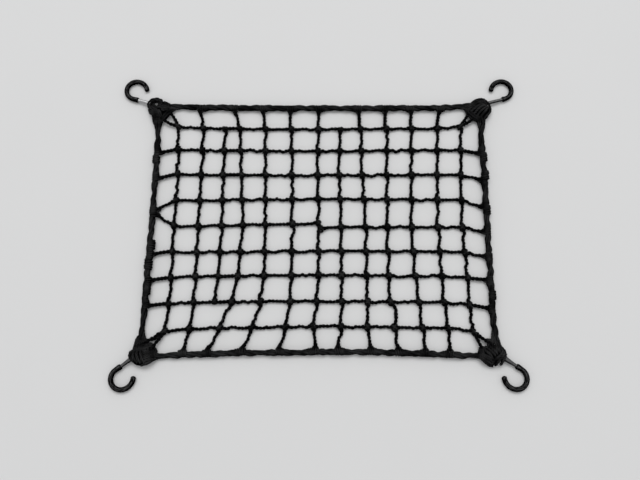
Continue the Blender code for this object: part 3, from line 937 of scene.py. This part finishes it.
tied = [line for place in hitches for line in hitch(*place)]
tied += [line for place in WHIPPINGS for line in whipping(*place)]
border_hitches = lay_up("border_hitches", tied, HITCH_CORD)
print(len(hitches), "hitches and", len(WHIPPINGS), "whippings")

# %% [markdown]
# ## Border rope
# The border is three thicker strands with a long lay, so its surface shows slow, nearly lengthwise
# streaks. It comes off the same tree as the cord, because only the numbers differ. It is squeezed
# at each hitch and swells on both sides of it. At its ends it climbs off the floor and runs a
# little way into the corner knot, so that no end shows.

# %% Lay the border ropes
BORDER_ROPE = cord_kind(rope_fibre, 9, step=1.3, strands=3, radius=2.08, sides=10, uneven=0.24,
                        offset=1.64, lay=42.0, wander=0.85, size=13.0)
ROPE_LOW = 3.7 * MM             # middle of a rope that lies on the floor
SQUEEZE = 0.82                  # girth under a hitch
SWELL = 1.12                    # and on both sides of it
BESIDE = 7.5 * MM               # how far from the hitch that is
ROPE_THIN = (0.80, 1.02)        # its girth halfway between two hitches
ROPE_HELD = 0.3                 # its slack beside a hitch
ROPE_NECK = 0.72                # girth where it enters a corner knot
ROPE_END = 0.40                 # and at its end, inside the knot
ROPE_CLIMB = 0.35               # the share of the CAD rope's climb that it keeps there


def sunk(place):
    """The place, lowered so that the knot's strands lie over the rope's end."""
    return Vector((*place.xy, ROPE_LOW + ROPE_CLIMB * (place.z - ROPE_LOW)))


def rope_line(rings):
    """A border rope's points, with a squeeze and two swellings for each hitch."""
    places = [middle for middle, _ in rings]
    first_way = (places[0] - places[1]).normalized()
    last_way = (places[-1] - places[-2]).normalized()
    points = [Point(sunk(places[0] + first_way * INTO_KNOT), ROPE_END)]
    for k, (middle, radius) in enumerate(rings):
        low = Vector((*middle.xy, ROPE_LOW))
        if radius > HITCHED:
            along = (places[k + 1] - places[k - 1]).xy.to_3d().normalized() * BESIDE
            points += [Point(low - along, SWELL, ROPE_HELD), Point((*middle.xy, ROPE_TIED), SQUEEZE),
                       Point(low + along, SWELL, ROPE_HELD)]
        elif k in (0, len(rings) - 1):
            points.append(Point(sunk(middle), ROPE_NECK))
        else:
            points.append(Point(low, chance.uniform(*ROPE_THIN), 1.0))
    return points + [Point(sunk(places[-1] + last_way * INTO_KNOT), ROPE_END)], False


rope_pieces = {name: lay_up("border_" + name, [rope_line(rings)], BORDER_ROPE)
               for name, rings in rope_rings.items()}

# %% [markdown]
# ## Corner knots
# At a corner the two border ropes are unlaid into loose strands. These spread over a lump of
# gathered cord, fold round the eye of the hook's wire, and are lashed there with a few turns. Such
# a tangle can be left to a simulation, but then nobody knows how it comes out, so the strands' ways
# are listed. Those that lie side by side are one band, which is given by a few sections across it,
# from one end of the band to the other. A section is where the band's two edges are, and the
# strands share it out evenly. A band of one strand has a single place for each section.

# %% Set out the corners
# A knot's middle, then the middle and half sizes of the lump in it, all in mm. Bands and lumps are
# placed from the knot's middle.
Knot = namedtuple("Knot", "middle lump half")
KNOTS = {
    "top_left": Knot((-198.0, 152.0), (1.0, -5.0), (12.5, 10.5)),
    "top_right": Knot((200.0, 152.0), (-2.5, -2.0), (15.0, 14.0)),
    "bottom_left": Knot((-198.5, -150.0), (-0.5, -3.5), (15.0, 13.0)),
    "bottom_right": Knot((197.0, -150.0), (-2.0, -2.0), (15.5, 12.0)),
}
# A band: how many strands, how far it lies above the others, its girth, its sections, its finish.
# Strands across an inner corner lie in shade there, which is painted by the darker rope fibre.
Band = namedtuple("Band", "strands above girth sections finish", defaults=(knot_fibre,))
BANDS = {}
print("lumps:", [knot.half for knot in KNOTS.values()])

# %% [markdown]
# ### Top left
# The left rope's strands run up the left of the knot to a small flat rope eye, and the top rope's
# come in from the right, arching over one another. Two strands cut the inner corner off.

# %% Lead the bands at the top left
BANDS["top_left"] = [
    Band(6, 0, 1, [(-2, -32, 0, -32), (-4, -24, 0.5, -24), (-7.5, -17, 1.5, -17),
                   (-8.2, -9, 2, -8.5), (-12.6, -4.5, 0, -4.5), (-14.3, 0.5, -1, -2)]),
    Band(3, -4, 1.2, [(20, 2, 18, 1), (12, 4, 12, 0), (5, 6, 5, 0), (0, 7, 0, 1)]),
    Band(4, 0.5, 1.1, [(30, 4.2, 30, 3.6), (20.5, 3.2, 20.5, 1.8), (14.5, 5.2, 14, 1.5),
                       (9.5, 8.4, 9, 2.5), (4.8, 9.9, 4, 3), (0.5, 8, 0, 2)]),
    Band(3, 0, 1.1, [(31, 4.1, 31, 3.6), (20, 2.6, 20, 1.4), (12, 1.5, 13, -1.5), (5, 2.5, 7, -3),
                     (-1, 1, 0.5, -3)]),
    # Across the inner corner: in shade, which is painted with the darker rope fibre.
    Band(2, -1, 1, [(0, -25, 1, -24), (2, -18, 3, -16), (5.5, -13.5, 4.5, -11.5),
                    (9.5, -9.5, 8, -7.5), (12.5, -5.5, 11, -3.5), (18, 0, 17, 1)], rope_fibre),
]
print(sum(band.strands for band in BANDS["top_left"]), "strands")

# %% [markdown]
# ### Top right
# One strand goes right round the outside of the knot, from the top rope to the right one, and the
# others lie on the slant, towards the hook.

# %% Lead the bands at the top right
BANDS["top_right"] = [
    Band(4, -1, 1, [(-36, 4, -36, 3.2), (-26, 3.9, -27, 2.4), (-19, 3.5, -19, 1),
                    (-13.5, 4, -15.5, -2.5), (-5.5, 7, -12, -5.5)]),
    Band(1, 0, 1.1, [(-33, 3.8), (-21, 3.4), (-14, 4), (-8, 9), (-2.5, 13.5), (3.5, 14),
                     (8.5, 11.5), (12, 6.5), (13, -1), (10, -7), (4.5, -13), (4, -20.5)]),
    Band(2, 0.5, 1, [(-22, 4.6, -21, 4), (-12, 4, -13, 2), (-6, 9, -6, 5.5), (0, 11.5, 0, 8),
                     (6, 11, 5.5, 8), (9.5, 7, 8.5, 5)]),
    Band(5, 0.6, 1.15, [(-17, -2.5, -4.5, -16), (-10, 2, 1.5, -9), (-2.5, 6, 6.5, -4),
                        (4.5, 6, 10.5, 1.5)]),
    Band(4, 0, 1, [(-1.5, -34, 0.5, -34), (-1.5, -27, 2, -27), (-3, -19, 4.5, -19),
                   (-5.5, -13.5, 4.5, -13), (-8, -8.5, 7, -8.5)]),
    Band(1, -2, 1, [(-18.5, 3.5), (-17.5, -2.5), (-15.5, -8.5), (-11.5, -12.5), (-6, -15.6),
                    (-3, -18), (-1.5, -23.5)]),
    # Across the inner corner: in shade, which is painted with the darker rope fibre.
    Band(2, -0.5, 1, [(-17, 2, -15, 2), (-15.5, -4.5, -12.5, -4.5), (-11.5, -9.5, -9, -8.5),
                      (-6.5, -13.5, -4.5, -12.5), (-2, -17.5, 0, -17)], rope_fibre),
]
print(sum(band.strands for band in BANDS["top_right"]), "strands")

# %% [markdown]
# ### Bottom left
# Both ropes spread over the lump, and four turns bind them where the wire comes out.

# %% Lead the bands at the bottom left
BANDS["bottom_left"] = [
    Band(7, 0, 1.1, [(-4, 29, -2, 29), (-4.5, 22.5, -1.5, 22.5), (-8.6, 16.5, 1, 16),
                     (-10.6, 10.5, 6.5, 9.5), (-10, 4.5, 9, 4.5), (-9, 1, 8, 1)]),
    Band(4, 0.7, 1, [(-12.5, 5, -9, -1), (-7, 9, -3.5, 2.5), (0, 11, 3, 5), (6, 11, 8.5, 6.5),
                     (9.5, 10, 11.5, 7)]),
    Band(1, 0, 1, [(-2, 24), (0, 17.5), (3.5, 14.5), (8.5, 15.5), (14, 17.5), (18.5, 20.5)]),
    Band(2, 0.5, 1.1, [(2.5, 13, 2, 11.5), (7, 10, 6, 8.5), (12, 6.5, 10, 5.5), (14, 2, 11.5, 1.5),
                       (13.5, -2, 11.5, -2)]),
    Band(6, 0, 1.15, [(26, -2.5, 26, -4.5), (19, -2, 19.5, -5), (14, -1, 15, -6),
                      (7.5, 1, 10, -9.5), (1.5, 1.5, 4, -12), (-3.5, -0.5, -1.5, -14)]),
    Band(4, 1.5, 1.3, [(-9.5, 3, -2, 2), (-14, 0.5, -1.5, -1.5), (-15, -3, -0.5, -6),
                       (-13, -7, 1, -9.5), (-9.5, -10, 3, -13)]),
]
print(sum(band.strands for band in BANDS["bottom_left"]), "strands")

# %% [markdown]
# ### Bottom right
# The same, with two strands folded over the top edge, and three turns.

# %% Lead the bands at the bottom right
BANDS["bottom_right"] = [
    Band(4, 0, 1.1, [(2.2, 31, 3.6, 31), (0, 21.5, 3.5, 21.5), (0, 15.5, 6.5, 15.5),
                     (0, 8.5, 8, 8.5), (1.5, 3, 12, 3), (3, -1, 12.5, -1)]),
    Band(2, 2, 1, [(-8, 15, -7, 13.2), (-4.5, 15.3, -4, 13.6), (-1, 15, -0.5, 13.2),
                   (2.5, 16.5, 2.5, 14.5), (3.5, 19, 4, 18)]),
    Band(1, 1, 1, [(-14, 8), (-10.5, 5.6), (-7.6, 6.6), (-5.6, 9.4), (-1.5, 12.5), (3, 14.5),
                   (4.5, 18)]),
    Band(4, 0.5, 1.2, [(-12, 4.5, -3, 11.2), (-9.5, 2, -0.5, 7.5), (-6.5, -2, 3, 3),
                       (-2, -7, 7.5, -1.5)]),
    Band(4, 0, 1.05, [(-25, -2, -25, -4.5), (-19, -1, -19, -5), (-14.5, -0.5, -15.5, -6.5),
                      (-9, -3.5, -11, -10.5), (-3.5, -7, -6, -14), (1, -9, -2, -15)]),
    Band(3, 1.5, 1.3, [(-5, -14, 7, -13), (-2.5, -10, 8.5, -9.5), (2, -6, 10.5, -6),
                       (7.5, -2, 12.5, -3), (10, 1.5, 13, 0.5)]),
    Band(3, 0, 1, [(-14.5, 7, -11.5, 6.5), (-16, 3, -12.5, 2), (-17.5, -0.5, -13.5, -2),
                   (-21.5, -3, -20.5, -3.5)]),
]
print(sum(band.strands for band in BANDS["bottom_right"]), "strands")

# %% [markdown]
# ### From bands to lines
# The sections only say where a strand lies on the plan. Its height follows from the lump, which is
# round, so how high it is at any place can be worked out and needn't be listed.

# %% Helpers for the lump
def lump_share(knot, x, y):
    """How high the lump is at a place, from 0 at its edge to 1 in its middle."""
    across = (x - knot.lump[0]) / knot.half[0]
    back = (y - knot.lump[1]) / knot.half[1]
    return math.sqrt(max(0.0, 1.0 - across * across - back * back))


def spot_of(knot, x, y, z):
    return (knot.middle[0] + x) * MM, (knot.middle[1] + y) * MM, z * MM


print("strands in all:", sum(band.strands for bands in BANDS.values() for band in bands))

# %% [markdown]
# ### The strands of a band
# A strand is low at the lump's edge and high on its middle, with both ends tucked in. Every strand
# that lies on the lump has a mate under it, so the knot looks right from below as well.

# %% Helper that leads the strands
EDGE_HEIGHT = 3.6               # of a strand's middle at the lump's edge, in mm
RISE = 7.0                      # how much higher it lies on top
TUCK = 3.5                      # how much lower its ends are, so that these sink into the lump
UNDER = 1.7                     # height of the strands under the lump
UNDER_SHARE = 0.9               # their distance from the lump's middle, as a share of that above
ON_LUMP = 0.05                  # how high the lump is where a strand gets its mate
UNEVEN_LAY = 0.35               # how far a strand may lie beside its place
LOOSE = 0.5                     # and above it, on the lump's middle
STRAND_SLACK = 0.6              # how free it is to wander


def band_lines(knot, band):
    """The strands of one band, and their mates under the lump."""
    lines = []
    for k in range(band.strands):
        share = k / max(band.strands - 1, 1)
        girth = band.girth * any_girth()
        over, under = [], []
        for section in band.sections:
            x, y = (first + (last - first) * share + chance.uniform(-UNEVEN_LAY, UNEVEN_LAY)
                    for first, last in zip(section[:2], section[-2:]))
            height = lump_share(knot, x, y)
            z = EDGE_HEIGHT + (RISE + band.above) * height + chance.uniform(0.0, LOOSE) * height
            if section in (band.sections[0], band.sections[-1]):
                z -= TUCK * height
            over.append(Point(spot_of(knot, x, y, z), girth, STRAND_SLACK))
            if height > ON_LUMP:
                x, y = (middle + (value - middle) * UNDER_SHARE
                        for value, middle in zip((x, y), knot.lump))
                under.append(Point(spot_of(knot, x, y, UNDER), girth))
        lines.append((over, False))
        if len(under) > 2:
            lines.append((under, False))
    return lines


print("a strand is", EDGE_HEIGHT, "to", EDGE_HEIGHT + RISE, "mm high")

# %% [markdown]
# ## The gathered lump
# The middle of a knot is a tangle that hardly shows, and strands there would only cost triangles,
# so a round lump with an uneven skin stands for it. It starts as a ball of even triangles, which
# has no poles that could show, is stretched to the knot's size, pushed in and out with noise, and
# pressed flat where the knot rests on the floor.

# %% Press the lumps
LUMP_HEIGHT = 5.6               # of its middle, in mm
LUMP_HALF = 4.6                 # half its height
LUMP_INSIDE = 1.5               # how far it stays inside the strands' outline
LUMP_FLAT = 0.6 * MM            # its lowest point
LUMP_ROUGH = 0.8 * MM           # how far the skin goes in and out
LUMP_GRAIN = 260.0              # how fine its ins and outs are


def gathered_lump(label, knot):
    form = bmesh.new()
    bmesh.ops.create_icosphere(form, subdivisions=4, radius=1.0)
    for vert in form.verts:
        x, y = (knot.lump[k] + vert.co[k] * (knot.half[k] - LUMP_INSIDE) for k in (X, Y))
        place = Vector(spot_of(knot, x, y, LUMP_HEIGHT + vert.co.z * LUMP_HALF))
        place += vert.normal * LUMP_ROUGH * noise.noise(place * LUMP_GRAIN)
        place.z = max(place.z, LUMP_FLAT)
        vert.co = place
    shape = bpy.data.meshes.new("lump_" + label)
    form.to_mesh(shape)
    form.free()
    shape.shade_smooth()
    shape.materials.append(cord_fibre)
    return linked("lump_" + label, shape)


lump_pieces = {label: gathered_lump(label, knot) for label, knot in KNOTS.items()}
print(len(lump_pieces), "lumps of", triangles(lump_pieces["top_left"]), "triangles")

# %% [markdown]
# ## The rope eye
# The top left corner ends in a flat eye of thick rope, a closed ring that rests half on the knot.
# Its outer side is the fullest, and one thin strand lines it. A ring of points is all that it
# takes, since the tree gives it its strands.

# %% Lay the rope eye
EYE_STEPS = 14
EYE_CORD = cord_kind(rope_fibre, 14, step=1.2, strands=3, radius=1.46, sides=8, uneven=0.12,
                     offset=1.26, lay=19.0)


def ellipse(x, y, across, back, height, lean, girth):
    """A closed line round a middle. It leans up to its inner side. Girth is a rule for an angle."""
    points = []
    for k in range(EYE_STEPS):
        angle = math.tau * k / EYE_STEPS
        inner = (math.cos(angle) - math.sin(angle)) / math.sqrt(2.0)
        points.append(Point(((x + across * math.cos(angle)) * MM, (y + back * math.sin(angle)) * MM,
                             (height + lean * inner) * MM), girth(angle)))
    return points, True


rope_eye = ellipse(x=-203.8, y=158.3, across=8.0, back=6.7, height=6.2, lean=1.4,
                   girth=lambda angle: 1.12 - 0.12 * math.cos(angle) - 0.06 * math.sin(angle))
eye_lining = ellipse(x=-203.8, y=160.0, across=4.1, back=3.7, height=3.0, lean=0.0,
                     girth=lambda angle: 1.35)
eye_piece = lay_up("eye", [rope_eye], EYE_CORD)

# %% [markdown]
# ## Tying a knot together
# The strands of a knot are laid up in one go for each finish. Then the lump and the strands are
# joined, because the record counts each corner knot as one piece.

# %% Tie the knots
STRAND_CORD = cord_kind(knot_fibre, 12, step=1.1, strands=3, radius=0.76, sides=6, uneven=0.26,
                        offset=0.80, lay=9.5, wander=0.35, size=6.0)


def join_pieces(name, parts):
    """One object out of several, with its name."""
    with bpy.context.temp_override(active_object=parts[0], selected_editable_objects=parts):
        bpy.ops.object.join()
    parts[0].name = name
    parts[0].data.name = name
    print(name, "has", triangles(parts[0]), "triangles")
    return parts[0]


knot_pieces = {}
for label, knot in KNOTS.items():
    lines = {knot_fibre: [], rope_fibre: []}
    for band in BANDS[label]:
        lines[band.finish] += band_lines(knot, band)
    if label == "top_left":
        lines[knot_fibre].append(eye_lining)
    parts = [lump_pieces[label]]
    parts += [lay_up("strands_" + label, strands, {**STRAND_CORD, "Finish": finish})
              for finish, strands in lines.items() if strands]
    if label == "top_left":
        parts.append(eye_piece)
    knot_pieces["knot_" + label] = join_pieces("corner_knot_" + label, parts)

# %% [markdown]
# ## Hook coating
# The hook is one steel wire with its bent part dipped in soft black plastic. The skin is smooth,
# with fine streaks where it ran along the wire. Its specular is off, and its low gloss is a painted
# highlight: a paler tone along its top, broken up by the streaks. Noise in space would cut across
# the bend, so the streaks are noise that is read on the strand's own round and length, and follow
# it.

# %% Mix the dipped plastic
STREAKS_ALONG = 60.0            # how often they change along the wire
STREAK_SCALE = 3.2              # and round it


def dipped_plastic(name):
    material, nodes, shader = new_material(name)
    place, along, spot, worn = on_strand(nodes)
    run = nodes.join(spot["X"], spot["Y"], nodes.maths("MULTIPLY", along, STREAKS_ALONG))
    streaks = nodes.noise(run, scale=STREAK_SCALE, detail=3.0)["Fac"]
    grain = nodes.noise(place, scale=1800.0, detail=3.0)["Fac"]
    # A narrow paler streak where the coating faces up: a painted highlight.
    highlight_share = nodes.maths("POWER", worn, 3.4)
    share = nodes.maths("MULTIPLY", highlight_share, nodes.ramp(streaks, 0.44, 0.70))
    rough = nodes.ramp(streaks, 0.3, 0.7, to_low=0.34, to_high=0.52)
    height = nodes.maths("MULTIPLY_ADD", grain, 0.25, streaks)
    join_finish(nodes, shader, BLACK, grey(0.096, 0.097), share, rough, height, depth=0.12 * MM,
                strength=0.6)
    shader.inputs["Specular IOR Level"].default_value = 0.0
    return material


coating = dipped_plastic("hook_coating")
print("coating:", coating.name)

# %% [markdown]
# ## Drawn wire
# The bare steel between the knot and the coating is drawn wire. Drawing leaves fine lengthwise
# lines. Its reflection is painted into its colour: bright along its top, dark on its sides, and
# brighter or darker from hook to hook. One shared material would need a value on every piece to
# tell them apart, so one function makes four materials, each with its own two painted tones.

# %% Draw the wire
LINES_ROUND = 9.0               # how often the drawn lines change round the wire
LINES_ALONG = 40.0              # and along it
# The painted reflection of each wire: its tone along its top, and on its sides.
WIRE_REFLECTIONS = {"top_left": (0.60, 0.38), "top_right": (0.14, 0.012), "bottom_left": (0.13, 0.004),
              "bottom_right": (0.14, 0.003)}


def drawn_wire(name, bright, dark):
    """Steel wire with a painted reflection: bright along its top, and dark on its sides."""
    material, nodes, shader = new_material(name)
    place, along, spot, worn = on_strand(nodes)
    run = nodes.join(nodes.maths("MULTIPLY", spot["X"], LINES_ROUND),
                     nodes.maths("MULTIPLY", spot["Y"], LINES_ROUND),
                     nodes.maths("MULTIPLY", along, LINES_ALONG))
    lines = nodes.noise(run, scale=1.0, detail=3.0)["Fac"]
    # Painted reflection: bright where the wire faces up, made uneven with noise, dark elsewhere.
    blotches = nodes.maths("SUBTRACT", nodes.noise(place, scale=300.0, detail=2.0)["Fac"], 0.5)
    worn = nodes.maths("ADD", worn, nodes.maths("MULTIPLY", blotches, 0.5))
    highlight_share = nodes.ramp(worn, 0.58, 1.0, soft=True)
    rough = nodes.ramp(lines, 0.3, 0.7, to_low=0.24, to_high=0.40)
    join_finish(nodes, shader, grey(dark, dark * 1.02), grey(bright, bright * 1.01), highlight_share, rough,
                lines, depth=0.04 * MM, strength=0.5)
    shader.inputs["Metallic"].default_value = 1.0
    return material


steels = {label: drawn_wire("drawn_wire_" + label, *tones) for label, tones in WIRE_REFLECTIONS.items()}
print("wire:", [steel.name for steel in steels.values()])

# %% [markdown]
# ## Hooks
# Each hook is a straight leg that runs on into an open ring. Made as two pieces they would show a
# joint, so both are one line, and the place where the leg touches the ring's circle is worked out,
# so that it has no kink there. The ring widens a little towards its tip, as it does when such a
# hook is sprung over a bar. The leg's start and direction come from the CAD's shank, and the ring's
# middle from how far out the CAD's hook reaches.

# %% Bend the wire
RING_RADIUS = 12.2 * MM         # of the wire's middle line
RING_SPREAD = 1.2 * MM          # how much wider the ring is at its tip
SPREAD_FROM = 0.7               # the share of the bend after which it widens
RING_REACH = 15.0 * MM          # from the ring's middle to the outside of the coating
RING_HEIGHT = 2.9 * MM          # of the wire's middle line, where it lies on the floor
COAT_RADIUS = 2.95              # in mm
COAT_GAP = -0.3 * MM            # from the end of the CAD's bare wire to the coating
BEND_STEPS = 14                 # from the leg to the tip
TIP_REACH = 0.5                 # how far the line runs past the bend, as a share of COAT_RADIUS
# Each hook: the way that its ring turns, the angle of its tip in degrees, how far the ring is bent
# aside, in mm, and the wire's girth where it leaves the knot.
Hook = namedtuple("Hook", "turn tip aside swell")
HOOKS = {
    "top_left": Hook(-1, 1.0, (-0.4, -0.3), 1.1),
    "top_right": Hook(1, 181.0, (-0.4, 0.1), 1.1),
    "bottom_left": Hook(1, 6.0, (0.0, 0.4), 1.3),
    "bottom_right": Hook(-1, 175.0, (-1.1, 0.8), 1.6),
}


def bend_line(label, hook):
    """The ends of the bare wire, where its coating starts, and the bend from there to the tip."""
    low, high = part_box("hook_" + label)
    middle = Vector((low.x + RING_REACH if "left" in label else high.x - RING_REACH,
                     low.y + RING_REACH if "bottom" in label else high.y - RING_REACH, RING_HEIGHT))
    middle += Vector((*hook.aside, 0.0)) * MM
    rings = [ring for ring, _ in tube_rings("shank_" + label, X)]
    inner, outer = (rings[-1], rings[0]) if "left" in label else (rings[0], rings[-1])
    start = outer + (outer - inner).normalized() * COAT_GAP
    toward = (start - middle).xy
    foot = math.atan2(toward.y, toward.x) + hook.turn * math.acos(RING_RADIUS / toward.length)
    sweep = (hook.turn * (math.radians(hook.tip) - foot)) % math.tau
    bend = []
    for k in range(BEND_STEPS + 1):
        share = k / BEND_STEPS
        angle = foot + hook.turn * sweep * share
        spread = max(0.0, (share - SPREAD_FROM) / (1.0 - SPREAD_FROM))
        radius = RING_RADIUS + RING_SPREAD * spread ** 2
        bend.append(middle + Vector((math.cos(angle), math.sin(angle), 0.0)) * radius)
    bend.append(bend[-1] + (bend[-1] - bend[-2]).normalized() * COAT_RADIUS * MM * TIP_REACH)
    return inner, outer, start, bend


print(len(HOOKS), "hooks of", 2 * RING_RADIUS / MM, "mm across the wire's middle")

# %% [markdown]
# ### Dipping
# The coating has a slightly swollen, rounded start where it was pulled out of the bath, and a round
# tip. Both are only a matter of girth along the line. The bare wire runs on into the coating and
# the knot, so that no end shows.

# %% Dip and place the hooks
COAT_CORD = cord_kind(coating, 21, step=0.7, strands=1, radius=COAT_RADIUS, sides=22, uneven=0.035)
WIRE_CORD = cord_kind(None, 22, step=1.0, strands=1, radius=1.95, sides=18, uneven=0.02)
# The distance from the end in mm, and the girth there.
COAT_START = [(0.0, 0.62), (0.35, 0.88), (1.0, 1.05), (2.2, 1.13), (4.5, 1.06), (7.0, 1.0)]
COAT_TIP = [(1.3, 0.90), (0.5, 0.68), (0.0, 0.35)]
START_ROOM = 0.8                # the most of the leg that the swollen start may take up
# The share of the way out of the knot, and how much of the wire's swelling is left there.
WIRE_SWELL = [(0.0, 1.0), (0.4, 0.6), (0.8, 0.0), (1.0, 0.0)]
WIRE_INSIDE = 2.5 * MM          # how far the wire runs into the coating


def coated(start, bend):
    """The points of a coated wire, with its swollen start and round tip."""
    leg = bend[0] - start
    back = (bend[-2] - bend[-1]).normalized()
    points = [Point(start + leg.normalized() * reach * MM, girth) for reach, girth in COAT_START
              if reach * MM < leg.length * START_ROOM]
    points += [Point(place) for place in bend[:-1]]
    points += [Point(bend[-1] + back * reach * MM, girth) for reach, girth in COAT_TIP]
    return points, False


def bare(inner, outer, swell):
    """The points of the bare wire, which is fuller where it leaves the knot."""
    points = [Point(inner.lerp(outer, share), 1.0 + (swell - 1.0) * left)
              for share, left in WIRE_SWELL]
    return points + [Point(outer + (outer - inner).normalized() * WIRE_INSIDE)], False


hook_pieces = {}
wire_pieces = {}
for label, hook in HOOKS.items():
    inner, outer, start, bend = bend_line(label, hook)
    hook_pieces["hook_" + label] = lay_up("coated_hook_" + label, [coated(start, bend)], COAT_CORD)
    wire_pieces["shank_" + label] = lay_up("wire_" + label, [bare(inner, outer, hook.swell)],
                                           {**WIRE_CORD, "Finish": steels[label]})

# %% [markdown]
# ## Riding
# Nothing in the net moves as a rigid part, so every piece rides on the one body. The pieces take
# the place of the CAD's plain cords, ropes, knots, wires and hooks. The mesh of cords is open
# netting, and most of its flat area is holes. Every piece but the down cords is listed as going
# with them. The area given is the least share of the cut that a sheet may have.

# %% Place the pieces on the frame
replaced = {down_cords: (list(down_lines), "mesh_cord"),
            across_cords: (list(across_lines), "mesh_cord")}
for pieces, slot in ((rope_pieces, "border_rope"), (knot_pieces, "border_rope"),
                     (hook_pieces, "hook_coating"), (wire_pieces, "hook_wire")):
    for node, piece in pieces.items():
        replaced[piece] = ([node], slot)
for piece, (nodes, slot) in replaced.items():
    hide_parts(*nodes)
    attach(piece, "root")
for piece in (crossing_knots, border_hitches):
    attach(piece, "root")

going_with = [piece for piece in replaced if piece is not down_cords]
going_with += [crossing_knots, border_hitches]

# %% [markdown] ## The size of the result The finished net should fill the CAD's box and hardly
# pass it.

# %% Record the size and finish
low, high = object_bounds()
past = [round(side / MM, 2) for side in (*(cad_low - low), *(high - cad_high))]
print("past the CAD box by", past, "mm")
